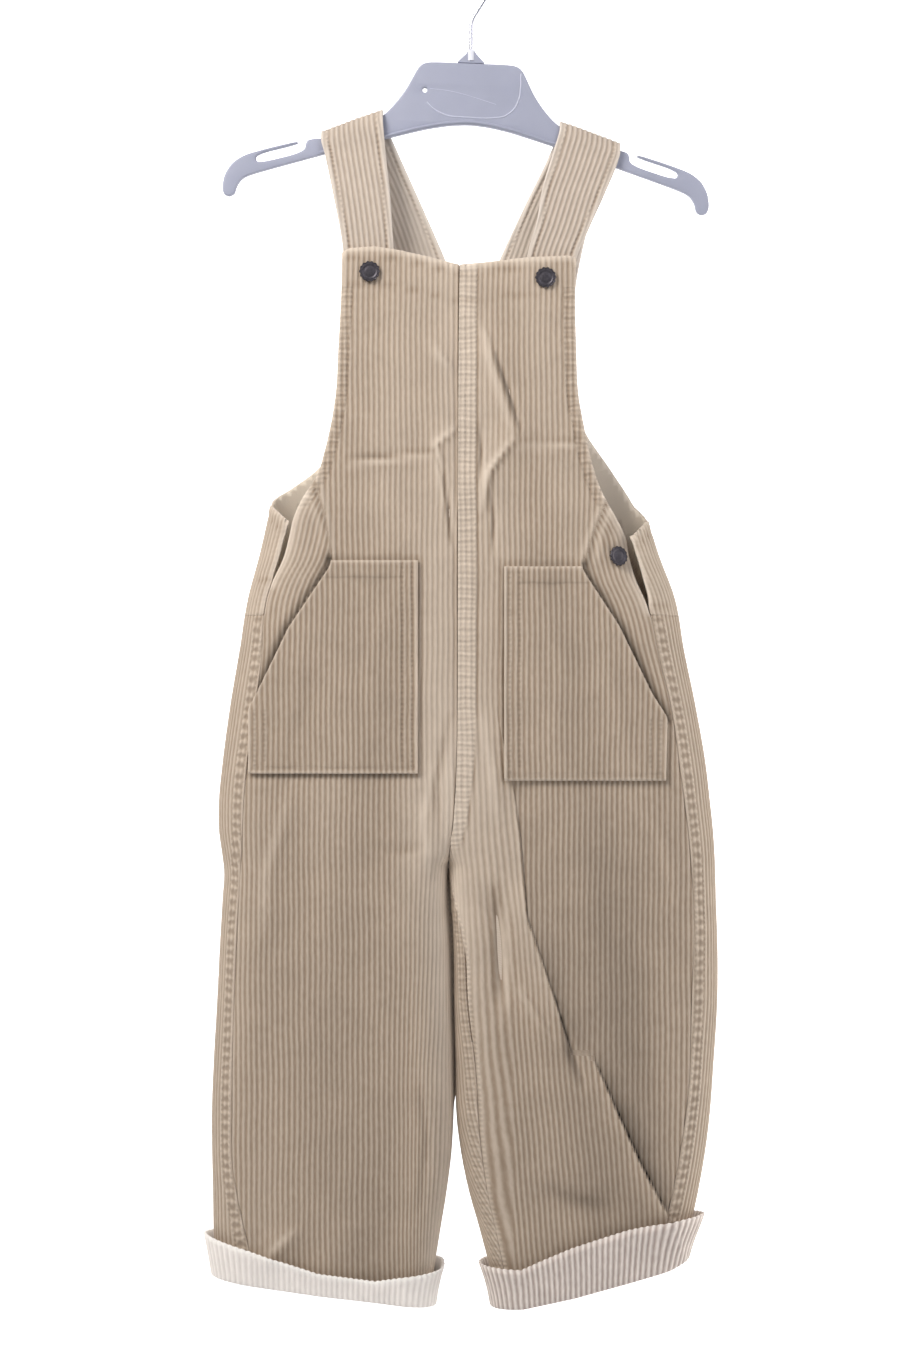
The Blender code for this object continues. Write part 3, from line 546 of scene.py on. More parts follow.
# %% Colours and nodes
def colour(code):
    parts = [int(code[i:i + 2], 16) / 255 for i in (0, 2, 4)]
    return (*[p / 12.92 if p <= 0.04045 else ((p + 0.055) / 1.055) ** 2.4 for p in parts], 1.0)


def add(tree, kind, settings=None, **inputs):
    """A node with its settings; inputs are values, or sockets to link."""
    made = tree.nodes.new(kind)
    for name, value in (settings or {}).items():
        setattr(made, name, value)
    for name, value in inputs.items():
        place = int(name[1:]) if name[0] == "i" and name[1:].isdigit() else name.replace("_", " ")
        if isinstance(value, bpy.types.NodeSocket):
            tree.links.new(value, made.inputs[place])
        else:
            made.inputs[place].default_value = value
    return made


def maths(tree, operation, a, b=0.0, c=0.0, clamp=False):
    settings = {"operation": operation, "use_clamp": clamp}
    return add(tree, "ShaderNodeMath", settings, i0=a, i1=b, i2=c).outputs[0]


def mix(tree, share, low, high, blend="MIX"):
    made = add(tree, "ShaderNodeMix", {"data_type": "RGBA", "blend_type": blend})
    for place, value in ((0, share), (6, low), (7, high)):
        if isinstance(value, bpy.types.NodeSocket):
            tree.links.new(value, made.inputs[place])
        else:
            made.inputs[place].default_value = value
    return made.outputs[2]


def material(name):
    made = bpy.data.materials.new(name)
    made.use_nodes = True
    tree = made.node_tree
    return made, tree, tree.nodes["Principled BSDF"]


# %% [markdown]
# ## Finishes
# Corduroy is cotton with rows of cut pile, and it scatters light softly: high roughness, a little
# sheen, hardly any gloss. The ribs themselves are in the mesh. The material darkens the valleys
# between them, partly as painted shade, pales what is rubbed or painted lit, darkens what is painted
# shaded, and adds what is finer than the mesh.
# The corduroy reads two attributes of its mesh. `cut` is the place on the flat cloth in metres, with
# the first number across the wales. Its last number is the pucker of sewing, which is fine up to 1
# and coarse from 1 to 2. `tone` above 0 pales the cloth, for wear and for painted light, and below 0
# it darkens it, mostly as painted shade.

# %% Cloth finishes
# Metres from one pucker of a seam to the next: a stitch of 3.1 mm, and a pull over two stitches
PUCKER = 0.0031
WIDE_PUCKER = 0.0058


def corduroy(name, ridge, valley, wear_and_painted_light):
    made, tree, shader = material(name)
    cut = add(tree, "ShaderNodeAttribute", {"attribute_name": "cut"}).outputs["Vector"]
    tone = add(tree, "ShaderNodeAttribute", {"attribute_name": "tone"}).outputs["Fac"]
    parts = add(tree, "ShaderNodeSeparateXYZ", i0=cut)
    turn = maths(tree, "MULTIPLY", parts.outputs["X"], math.tau / (WALE * MM))
    wave = maths(tree, "MULTIPLY_ADD", maths(tree, "COSINE", turn), 0.5, 0.5)
    # Patterns a metre: tufts of pile 1.1 mm, worn patches 18 mm, fibres 0.3 mm
    cloth = add(tree, "ShaderNodeMapping", Vector=cut, Scale=(1.0, 1.0, 0.0)).outputs[0]
    along = add(tree, "ShaderNodeMapping", Vector=cut, Scale=(1.0, 0.22, 0.0)).outputs[0]
    pile = add(tree, "ShaderNodeTexNoise", Vector=along, Scale=900.0, Detail=3.0).outputs["Fac"]
    patch = add(tree, "ShaderNodeTexNoise", Vector=cloth, Scale=55.0, Detail=4.0).outputs["Fac"]
    fibre = add(tree, "ShaderNodeTexNoise", Vector=cloth, Scale=3200.0, Detail=2.0).outputs["Fac"]
    uneven = maths(tree, "MULTIPLY", maths(tree, "SUBTRACT", pile, 0.5), 0.9)
    loose = maths(tree, "MULTIPLY", patch, 9.0)
    phase = maths(tree, "MULTIPLY_ADD", parts.outputs["Y"], math.tau / PUCKER, loose)
    looser = maths(tree, "MULTIPLY", patch, 7.0)
    wide = maths(tree, "MULTIPLY_ADD", parts.outputs["Y"], math.tau / WIDE_PUCKER, looser)
    coarse = maths(tree, "SUBTRACT", parts.outputs["Z"], 1.0, clamp=True)
    fine = maths(tree, "SUBTRACT", maths(tree, "MINIMUM", parts.outputs["Z"], 1.0), coarse)
    pulled = maths(tree, "MULTIPLY", maths(tree, "SUBTRACT", maths(tree, "COSINE", wide), 0.25), coarse)
    pucker = maths(tree, "ADD", maths(tree, "MULTIPLY", maths(tree, "COSINE", phase), fine), pulled)
    crushed = maths(tree, "SUBTRACT", 1.0, maths(tree, "MULTIPLY", coarse, 0.4))
    ribbed = maths(tree, "MULTIPLY", wave, crushed)
    uneven = maths(tree, "ADD", uneven, maths(tree, "MULTIPLY", pulled, 0.5))
    lift = maths(tree, "ADD", ribbed, uneven, clamp=True)
    # The valleys between the ribs take the darker colour: partly painted shade, partly the paler wear of
    # the ridges
    base = mix(tree, lift, colour(valley), colour(ridge))
    # Tone above 0 pales towards the pale colour, for wear and painted light; tone below 0 darkens, as
    # painted shade
    light = maths(tree, "MULTIPLY", maths(tree, "MAXIMUM", tone, 0.0), 0.75, clamp=True)
    base = mix(tree, light, base, colour(wear_and_painted_light))
    dark = maths(tree, "SUBTRACT", 1.0, maths(tree, "MULTIPLY", maths(tree, "MINIMUM", tone, 0.0), -0.5))
    dull = maths(tree, "MULTIPLY_ADD", maths(tree, "SUBTRACT", patch, 0.5), 0.22, dark)
    dull = maths(tree, "ADD", dull, maths(tree, "MULTIPLY", pucker, 0.11))
    base = mix(tree, 1.0, base, dull, "MULTIPLY")
    relief = maths(tree, "ADD", maths(tree, "MULTIPLY", fibre, 0.35), maths(tree, "MULTIPLY", pucker, 0.9))
    bump = add(tree, "ShaderNodeBump", Strength=0.6, Distance=0.00035, Height=relief).outputs[0]
    tree.links.new(base, shader.inputs["Base Color"])
    tree.links.new(bump, shader.inputs["Normal"])
    shader.inputs["Roughness"].default_value = 0.92
    shader.inputs["Sheen Weight"].default_value = 0.18
    shader.inputs["Sheen Roughness"].default_value = 0.45
    shader.inputs["Specular IOR Level"].default_value = 0.15
    return made


# Corduroy's pile side, tan, paler where it is worn and where light is painted on
pile_cloth = corduroy("tan_corduroy_pile", "c0b1a1", "9b8977", "e2d5c6")
# The turn-ups' ribs, much paler than the legs
cuff_cloth = corduroy("turned_up_corduroy_pile", "f3eae3", "bcada6", "fdfaf6")
# The strap's pile, a paler copy of the legs': painted light for the brighter top of the garment, and wear
strap_cloth = corduroy("strap_corduroy_pile", "cabdb0", "a79788", "e4dcd3")


# %% The cloth's wrong side
def plain_cloth(name, base_code, thread_code):
    made, tree, shader = material(name)
    cut = add(tree, "ShaderNodeAttribute", {"attribute_name": "cut"}).outputs["Vector"]
    turned = add(tree, "ShaderNodeMapping", Vector=cut, Rotation=(0.0, 0.0, math.radians(58)),
                 Scale=(1.0, 1.0, 0.0)).outputs[0]
    # Real twill lines are about 0.4 mm apart. These are 1.2 mm apart, coarse enough to show
    twill = add(tree, "ShaderNodeTexWave", {"bands_direction": "X"}, Vector=turned, Scale=260.0,
                Distortion=1.2, Detail=2.0).outputs["Fac"]
    patch = add(tree, "ShaderNodeTexNoise", Vector=turned, Scale=70.0, Detail=3.0).outputs["Fac"]
    share = maths(tree, "ADD", maths(tree, "MULTIPLY", twill, 0.5), maths(tree, "MULTIPLY", patch, 0.5))
    base = mix(tree, share, colour(base_code), colour(thread_code))
    # Paler where tone is high: the facing near the edges, and painted light inside the backs
    tone = add(tree, "ShaderNodeAttribute", {"attribute_name": "tone"}).outputs["Fac"]
    base = mix(tree, maths(tree, "MULTIPLY", tone, 0.9, clamp=True), base, colour("f7ecdc"))
    bump = add(tree, "ShaderNodeBump", Strength=0.25, Distance=0.0002, Height=twill).outputs[0]
    tree.links.new(base, shader.inputs["Base Color"])
    tree.links.new(bump, shader.inputs["Normal"])
    shader.inputs["Roughness"].default_value = 0.95
    shader.inputs["Specular IOR Level"].default_value = 0.15
    return made


# The twill ground on the cloth's wrong side
wrong_side = plain_cloth("corduroy_wrong_side_twill", "d6cabd", "c0b1a2")
print("cloth finishes:", pile_cloth.name, cuff_cloth.name, strap_cloth.name, wrong_side.name)

# %% [markdown]
# ## From a grid to a closed shell of cloth
# A sheet could be a flat grid with a Solidify modifier. Ribs on both faces would then double the
# triangles, and the inner face has none to show. So the outer face has six columns a wale, which
# makes its ribs real relief, and the inner face is coarser. A strip of triangles joins their edges.

# %% Shells of cloth
RIB_COLUMNS = 6
FINE = WALE / RIB_COLUMNS
COARSE = WALE
ROW = 3.2
LOWEST_ROW = 824.0


def two_triangles(a, b, c, d):
    """Two triangles for each four-cornered face"""
    return np.concatenate([np.stack([a, b, c], -1).reshape(-1, 3), np.stack([a, c, d], -1).reshape(-1, 3)])


def grid(columns, rows, limits, top, bottom):
    """Points of a grid moved onto the piece's edges, merged there, and the triangles between them."""
    wanted_u, wanted_down = np.meshgrid(columns, rows)
    room_u = 0.3 * (columns[1] - columns[0])
    room_down = 0.3 * (rows[1] - rows[0])
    down = wanted_down.copy()
    for _ in range(3):
        low, high = limits(down)
        u = np.where(wanted_u < low + room_u, low, np.where(wanted_u > high - room_u, high, wanted_u))
        first, last = top(u, down), bottom(u, down)
        down = np.where(wanted_down < first + room_down, first,
                        np.where(wanted_down > last - room_down, last, wanted_down))
    keys = np.round(np.stack([u, down], axis=-1).reshape(-1, 2), 3)
    places, index = np.unique(keys, axis=0, return_inverse=True)
    index = index.reshape(u.shape)
    a, b, c, d = index[:-1, :-1], index[:-1, 1:], index[1:, 1:], index[1:, :-1]
    faces = two_triangles(a, b, c, d)
    real = (faces[:, 0] != faces[:, 1]) & (faces[:, 1] != faces[:, 2]) & (faces[:, 0] != faces[:, 2])
    return places, faces[real]


# %% Joining the two faces at their edge
def border(faces):
    """The piece's edge as one ring of point numbers, in the direction of its triangles."""
    edges = np.concatenate([faces[:, [0, 1]], faces[:, [1, 2]], faces[:, [2, 0]]]).astype(np.int64)
    big = faces.max() + 1
    forward = edges[:, 0] * big + edges[:, 1]
    free = edges[~np.isin(forward, edges[:, 1] * big + edges[:, 0])]
    following = {int(a): int(b) for a, b in free}
    start = int(free[0, 0])
    ring = [start]
    while following[ring[-1]] != start:
        ring.append(following[ring[-1]])
    return ring


def zipped(outer_ring, outer_at, inner_ring, inner_at, shift):
    """Triangles from the outer edge to the inner edge, which run side by side."""
    start = outer_at[outer_ring[0]]
    near = min(range(len(inner_ring)), key=lambda k: math.dist(inner_at[inner_ring[k]], start))
    inner_ring = inner_ring[near:] + inner_ring[:near]
    faces = []
    i = j = 0
    count_out, count_in = len(outer_ring), len(inner_ring)
    while i < count_out or j < count_in:
        a, b = outer_ring[i % count_out], outer_ring[(i + 1) % count_out]
        c, d = inner_ring[j % count_in], inner_ring[(j + 1) % count_in]
        step_out = math.dist(outer_at[b], inner_at[c]) if i < count_out else 1e9
        step_in = math.dist(outer_at[a], inner_at[d]) if j < count_in else 1e9
        if step_out <= step_in:
            faces.append((b, a, c + shift))
            i += 1
        else:
            faces.append((a, c + shift, d + shift))
            j += 1
    return np.array(faces)


def placed(name, data):
    """A new object in the scene"""
    made = bpy.data.objects.new(name, data)
    bpy.context.scene.collection.objects.link(made)
    return made


# %% A mesh from points
def mesh_piece(name, points, faces, cut, tone, flip, inner_from, finishes):
    """A smooth mesh from millimetre points, with its cloth attributes and finishes."""
    if flip:
        faces = faces[:, ::-1]
    data = bpy.data.meshes.new(name)
    data.vertices.add(len(points))
    data.vertices.foreach_set("co", (np.asarray(points) * MM).astype(np.float32).ravel())
    data.loops.add(faces.size)
    data.loops.foreach_set("vertex_index", faces.astype(np.int32).ravel())
    data.polygons.add(len(faces))
    data.polygons.foreach_set("loop_start", np.arange(0, faces.size, 3, dtype=np.int32))
    data.update(calc_edges=True)
    data.validate()
    made = data.attributes.new("cut", "FLOAT_VECTOR", "POINT")
    made.data.foreach_set("vector", np.asarray(cut, dtype=np.float32).ravel())
    made = data.attributes.new("tone", "FLOAT", "POINT")
    made.data.foreach_set("value", np.asarray(tone, dtype=np.float32))
    for finish in finishes:
        data.materials.append(finish)
    if inner_from is not None:
        inside = (np.max(faces, axis=1) >= inner_from) & (np.min(faces, axis=1) >= inner_from)
        data.polygons.foreach_set("material_index", inside.astype(np.int32))
    data.shade_smooth()
    return placed(name, data)


def rounded_edge(away):
    """The cloth turns down at its edge."""
    return -0.75 * np.maximum(0.0, 1 - away / 1.3) ** 2


# %% Where the pockets lie
POCKET = {
    "left": {
        "top": 376.2,
        "bottom": 502.4,
        "inner": -31.6,
        "outer": ((376.2, -82.8), (380.0, -84.0), (416.6, -108.6), (452.4, -125.4), (463.6, -131.0),
                  (502.4, -131.2)),
    },
    "right": {
        "top": 379.8,
        "bottom": 506.6,
        "inner": 19.6,
        "outer": ((379.8, 65.4), (384.0, 67.4), (415.0, 87.6), (455.0, 107.0), (469.0, 115.6),
                  (506.6, 115.2)),
    },
}


def pocket_edges(side):
    """Length on each ring of the pocket's inner edge and of its slanting outer edge."""
    drops = [row[0] for row in POCKET[side]["outer"]]
    outer = np.interp(HALF[side].downs, drops, [row[1] for row in POCKET[side]["outer"]])
    return HALF[side].s_of_x(POCKET[side]["inner"]), HALF[side].s_of_x(outer)


POCKET_EDGES = {side: pocket_edges(side) for side in SIDES}


def pocket_shadow(side, s, down):
    """The front is pressed in close round the pocket, with painted shadow there, strongest beside the
    slanting mouth.
    """
    inner, outer = (HALF[side].per_row(edge, down) for edge in POCKET_EDGES[side])
    beyond_x = np.maximum(inner - s, s - outer)
    beyond_down = np.maximum(POCKET[side]["top"] - down, down - POCKET[side]["bottom"])
    away = np.hypot(np.maximum(beyond_x, 0.0), np.maximum(beyond_down, 0.0))
    inside = (beyond_x < 0) & (beyond_down < 0)
    mouth = (s > outer) & (down < POCKET[side]["outer"][-2][0] + 2.0)
    shade = np.where(mouth, 1.5 * hump(away, 4.0), 0.55 * hump(away, 2.2))
    return np.where(inside, 0.0, shade)


# %% One sheet of cloth
STRIP_GAP = 0.5
STRIP_TOP = {"left": 342.6, "right": 351.6}
STRIP_SLOPE = 9.8
SLIT_END = {"left": 388.0, "right": 404.0}
SLIT_WIDTH = {"left": 3.2, "right": 4.4}


def cloth_shell(name, side, span, rows, limits, top, bottom, surface, turned, thick=WALL, hem=7.0):
    """surface(u, down) gives point, normal, height, base, cut and tone as arrays, and
    turned(u, down) how far the edge is rounded and rubbed pale."""
    layers = []
    for step in (FINE, COARSE):
        columns = np.arange(span[0], span[1], step)
        places, faces = grid(columns, rows, limits, top, bottom)
        used = np.unique(faces)
        renumber = np.full(len(places), -1)
        renumber[used] = np.arange(len(used))
        layers.append((places[used], renumber[faces]))
    (fine, fine_faces), (coarse, coarse_faces) = layers
    low, high = limits(fine[:, 1])
    first, last = top(fine[:, 0], fine[:, 1]), bottom(fine[:, 0], fine[:, 1])
    away = np.minimum(np.minimum(fine[:, 0] - low, high - fine[:, 0]),
                      np.minimum(fine[:, 1] - first, last - fine[:, 1]))
    point, normal, height, base, cut, tone = surface(fine[:, 0], fine[:, 1])
    weight = turned(fine[:, 0], fine[:, 1])
    outer = point + normal * (base + height + rounded_edge(away) * weight)[:, None]
    point, normal, _, base, cut_in, _ = surface(coarse[:, 0], coarse[:, 1])
    inner = point + normal * (np.minimum(base, 3.0) - thick)[:, None]
    shift = len(fine)
    walls = zipped(border(fine_faces), fine, border(coarse_faces), coarse, shift)
    faces = np.concatenate([fine_faces, coarse_faces[:, ::-1] + shift, walls])
    low, high = limits(coarse[:, 1])
    hem_away = np.minimum(np.minimum(coarse[:, 0] - low, high - coarse[:, 0]),
                          coarse[:, 1] - top(coarse[:, 0], coarse[:, 1]))
    # The wrong side is pale near its edges, where the facing lies; on the backs the band is widened as
    # painted light on their shaded insides
    hem_line = 0.5 * hump(hem_away - hem - 0.5, 1.5)
    hem_tone = 0.95 / (1 + np.exp((hem_away - hem) / 0.5)) - hem_line
    tones = np.concatenate([tone + 0.7 * weight ** 2 * np.maximum(0.0, 1 - away / 2.4), hem_tone])
    piece = mesh_piece(name, np.concatenate([outer, inner]), faces, np.concatenate([cut, cut_in]), tones,
                       side == "right", shift, (pile_cloth, wrong_side))
    print(name, len(faces), "triangles")
    return piece


def sheet_piece(piece, node):
    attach(piece, "root")
    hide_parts(node)
    return piece


# %% [markdown]
# ## Fronts
# Each front is one piece of cloth from the bib to the hem, with the armhole cut away.
# The wales run straight down, except on the inside of the right leg. There they lean out from the
# crotch, up to the long slanting fold. The right front carries the felled seam down the middle.

# %% The two fronts
REF_X = {"left": -75.0, "right": 72.0}
LEAN = math.tan(math.radians(4.6))
LEAN_START = 462.0
LEG_MIDDLE = {"left": -62.0, "right": 84.0}
LEG_DARKER = {"left": -0.06, "right": 0.08}
# Rows of stitches, each by its distance from the edge, and the puckered band by the armhole
FELL_ROWS = (5.0, 9.3)
BIB_HEM_ROW = 5.2
FACING_ROW = 22.0
ARMHOLE_ROW = 6.5
ARMHOLE_BAND = 7.0
FRONT_SEED = {"left": 11, "right": 12}
# The long fold of the right leg: x, down, how far the inner cloth stands over the outer
FOLD_LINE = ((14.0, 462.0, 0.0), (24.0, 505.0, 0.5), (29.0, 540.0, 1.2), (33.0, 587.0, 1.5),
             (50.0, 637.0, 2.1), (56.0, 658.0, 1.7), (59.6, 667.5, 0.5), (71.6, 669.5, 0.5),
             (77.0, 681.0, 1.9), (87.0, 704.0, 2.8), (101.0, 735.0, 2.9), (116.0, 763.0, 2.4),
             (128.0, 800.0, 0.0))


def fold_line(down, name):
    place = ("x", "down", "step").index(name)
    return np.interp(down, [row[1] for row in FOLD_LINE], [row[place] for row in FOLD_LINE])


def lean(side, x, down):
    """How far the wales have moved across, on the inner part of the right leg."""
    if side == "left":
        return -0.045 * np.maximum(0.0, down - 560.0) * hump(x + 22.0, 14.0)
    moved = LEAN * np.maximum(0.0, down - LEAN_START)
    fan = np.clip((x + 15.0) / 40.0, 0.25, 1.0)
    return np.where(x < fold_line(down, "x"), moved * fan, 0.0)


# %% How the fronts' wales run
# Beyond this line (down, x) the front's wales run along the side opening
OUTER_LINE = {
    "left": ((330.0, -92.0), (352.0, -86.0), (376.0, -83.0), (416.0, -108.6), (452.0, -125.4),
             (464.0, -131.0)),
    "right": ((340.0, 80.0), (360.0, 72.0), (380.0, 66.0), (415.0, 87.6), (455.0, 107.0),
              (469.0, 115.6)),
}


def outer_zone(side, x, down):
    """Distance beyond the line, and where the wales turn with the edge."""
    line = OUTER_LINE[side]
    beyond = (x - np.interp(down, [row[0] for row in line], [row[1] for row in line])) * SIDES[side]
    return beyond, (beyond > 0) & (down > line[0][0]) & (down < line[-1][0])


def fold_step(side, x, down):
    """The inner cloth of the right leg laps over the outer cloth along the long fold."""
    if side == "left":
        return 0.0 * x
    away = x - fold_line(down, "x")
    step = fold_line(down, "step")
    over = 0.62 * step * np.exp(np.minimum(away, 0.0) / 9.0)
    under = -0.38 * step * np.exp(-np.maximum(away, 0.0) / 6.0)
    return np.where(away < 0, over, under)


def fold_shade(side, x, down):
    """Painted highlight on the lap's rim, and painted shadow on the cloth under it."""
    if side == "left":
        return 0.0 * x
    away = x - fold_line(down, "x")
    rim = 0.16 * np.exp(np.minimum(away, 0.0) / 3.5)
    under = -0.30 * np.exp(-np.maximum(away, 0.0) / 7.0)
    return fold_line(down, "step") * np.where(away < 0, rim, under)


# %% Wear and painted light on the fronts
def wear_and_painted_light(side, x, down):
    """Paler by the middle seam and round the crotch; painted light on the bib and on the legs' inner edges,
    and painted shade down the legs' middles.
    """
    reach = 20.0 + 0.1 * np.maximum(0.0, down - 420.0)
    strength = 0.30 + 0.30 * hump(down - 530.0, 90.0)
    fade = until(down, 700.0, 30.0)
    seam = strength * fade * hump(x - body(side, "in", down), reach)
    bib = 0.12 / (1 + np.exp((down - 370.0) / 25.0))
    leg = LEG_MIDDLE[side] + 6.0 * np.sin(down / 60.0)
    shade = 0.32 / (1 + np.exp(-(down - 540.0) / 25.0)) * hump(x - leg, 40.0)
    inside = 0.85 / (1 + np.exp(-(down - 556.0) / 6.0)) * hump(x - body(side, "in", down), 7.5)
    return seam + bib - shade + inside


def front_unevenness(side, x, down, from_edge):
    soft = ripple(x, down, FRONT_SEED[side], 60.0, 0.8) * np.clip(from_edge / 20, 0.0, 1.0)
    return crease_rise(FRONT_CREASES, x, down) + soft + fold_step(side, x, down)


def inside_band(side, s, down):
    """The front lies flat beside the inside leg seam, where it is stitched through."""
    start = np.where(down > CROTCH, depth(side[0] + "_turn", down), 0.0)
    return (s - start < 3.0) / (1 + np.exp(-(down - CROTCH - 8) / 2.0))


# %% Building a front
def front_of(side):
    half = HALF[side]
    ref = half.s_of_x(REF_X[side])
    edge = half.s_of_x(front_edge(side, half.downs))
    turn = np.where(half.downs > CROTCH, depth(side[0] + "_turn", half.downs), 0.0)
    start = turn + SEAM / 2 * half.closed

    def limits(down):
        middle = half.per_row(ref, down)
        return half.per_row(start, down) - middle, half.per_row(edge, down) - SEAM / 2 - middle

    def place(u, down):
        return u + half.per_row(ref, down)

    def top(u, down):
        return bib_top(half.at(place(u, down), np.maximum(down, 190.0))[0])

    def bottom(u, down):
        return hem(side, "bottom", half.at(place(u, down), down)[0]) - WALL - SEAM

    def surface(u, down):
        s = place(u, down)
        point = half.point(s, down, True)
        normal = half.normal(s, down, True)
        x = point[:, 0]
        high = limits(down)[1]
        near_edge = np.minimum(1.0, (high - u) / 14 + 0.15)
        base = fold_rise(x, down) * near_edge
        beyond, turned_wales = outer_zone(side, x, down)
        straight = u - lean(side, x, down) * SIDES[side]
        wale_u = np.where(turned_wales, u - high, straight) + wander(x, down)
        height = front_unevenness(side, x, down, high - u)
        ribs = wale_rise(wale_u)
        # Painted light and shade on the creases' slopes, on the legs, along the long fold and round the
        # pocket, with some wear by the seams
        tone = painted_slope_shade(lambda a, b: front_unevenness(side, a, b, 20.0), x, down)
        tone = tone + wear_and_painted_light(side, x, down) + fold_shade(side, x, down) - pocket_shadow(side, s, down)
        tone = tone - LEG_DARKER[side] / (1 + np.exp(-(down - 500.0) / 20.0))
        # A crease along the side line above the pocket: painted highlight on its inner side and painted
        # shadow beyond it
        crease = (down > OUTER_LINE[side][0][0] - 6) * (down < POCKET[side]["top"])
        lit = 0.4 * hump(beyond + 1.6, 1.8)
        shaded = 0.45 * hump(beyond - 1.6, 2.2)
        tone = tone + crease * (lit - shaded)
        height = height + 0.9 * crease * hump(beyond + 1.2, 2.2)
        opening = (down > STRIP_TOP[side] - 8) * (down < SLIT_END[side] + 5)
        tone = tone + 0.55 * opening * hump(high - u, 5.0)
        sewn = np.zeros(len(u))
        if side == "right":
            felled = until(down, FELL_END, 2.0)
            width = FELL_WIDTH - 3.5 * np.clip((down - 490.0) / 50.0, 0.0, 1.0)
            band = felled / (1 + np.exp((s - width) / 0.35))
            base = base + 0.8 * band
            for row in FELL_ROWS:
                groove = felled * hump(s - row * width / FELL_WIDTH, 1.0)
                height = height - 0.2 * groove
                sewn = np.maximum(sewn, groove)
            sewn = np.maximum(sewn, 1.35 * band)
            # A paler band, and a painted shadow line just beyond its edge
            tone = tone + 0.3 * band - 0.4 * felled * hump(s - width - 1.0, 0.9)
        else:
            seam = hump(s, 2.2) / (1 + np.exp((down - 548.0) / 3.0))
            height = height - 0.5 * seam
            # Painted shade in the groove of the middle seam
            tone = tone - 0.2 * seam
        top_edge = hump(down - bib_top(x) - BIB_HEM_ROW, 1.1) * (down < BIB_SIDES_START)
        height = height - 0.45 * top_edge
        tone = tone - 0.45 * top_edge + 0.25 * (down < bib_top(x) + BIB_HEM_ROW) * (down < BIB_SIDES_START)
        facing = hump(down - bib_top(x) - FACING_ROW, 1.0) * (down < 240)
        height = height - 0.3 * facing
        tone = tone - 0.3 * facing
        by_armhole = (down < ARMHOLE_END) * (down > ARMHOLE_START)
        armhole = hump(high - u - ARMHOLE_ROW, 0.9) * by_armhole
        height = height - 0.3 * armhole
        tone = tone - 0.25 * armhole
        sewn = np.maximum(sewn, 1.3 * (high - u < ARMHOLE_BAND) * by_armhole)
        sewn = np.maximum(sewn, 0.75 * inside_band(side, s, down))
        cut = np.stack([wale_u * MM, down * MM, sewn], axis=-1)
        return point, normal, height + ribs - 0.9 * pocket_shadow(side, s, down), base, cut, tone

    def turned(u, down):
        low, high = limits(down)
        seam = (u - low < 3.0) | ((high - u < 3.0) & (down > PLACKET_END))
        return np.where(seam, 0.35, 1.0)

    rows = np.arange(186.0, LOWEST_ROW, ROW)
    return cloth_shell("cloth_front_" + side, side, (-125.0, 125.0), rows, limits, top, bottom, surface,
                       turned)


front = {side: front_of(side) for side in SIDES}
for side in SIDES:
    sheet_piece(front[side], "front_panel_" + side)

# %% [markdown]
# ## Backs
# Each back is one piece too, sewn to the other down the middle. It wraps round to the front of the
# leg at both seams, where its wales follow the outline. Its creases are guessed, since the photo
# shows only the front.

# %% The two backs
BACK_SEED = {"left": 21, "right": 22}
BACK_HEM_ROWS = (6.0, 12.0)
SEAM_BAND = 8.6
SEAM_GROOVE = 4.2


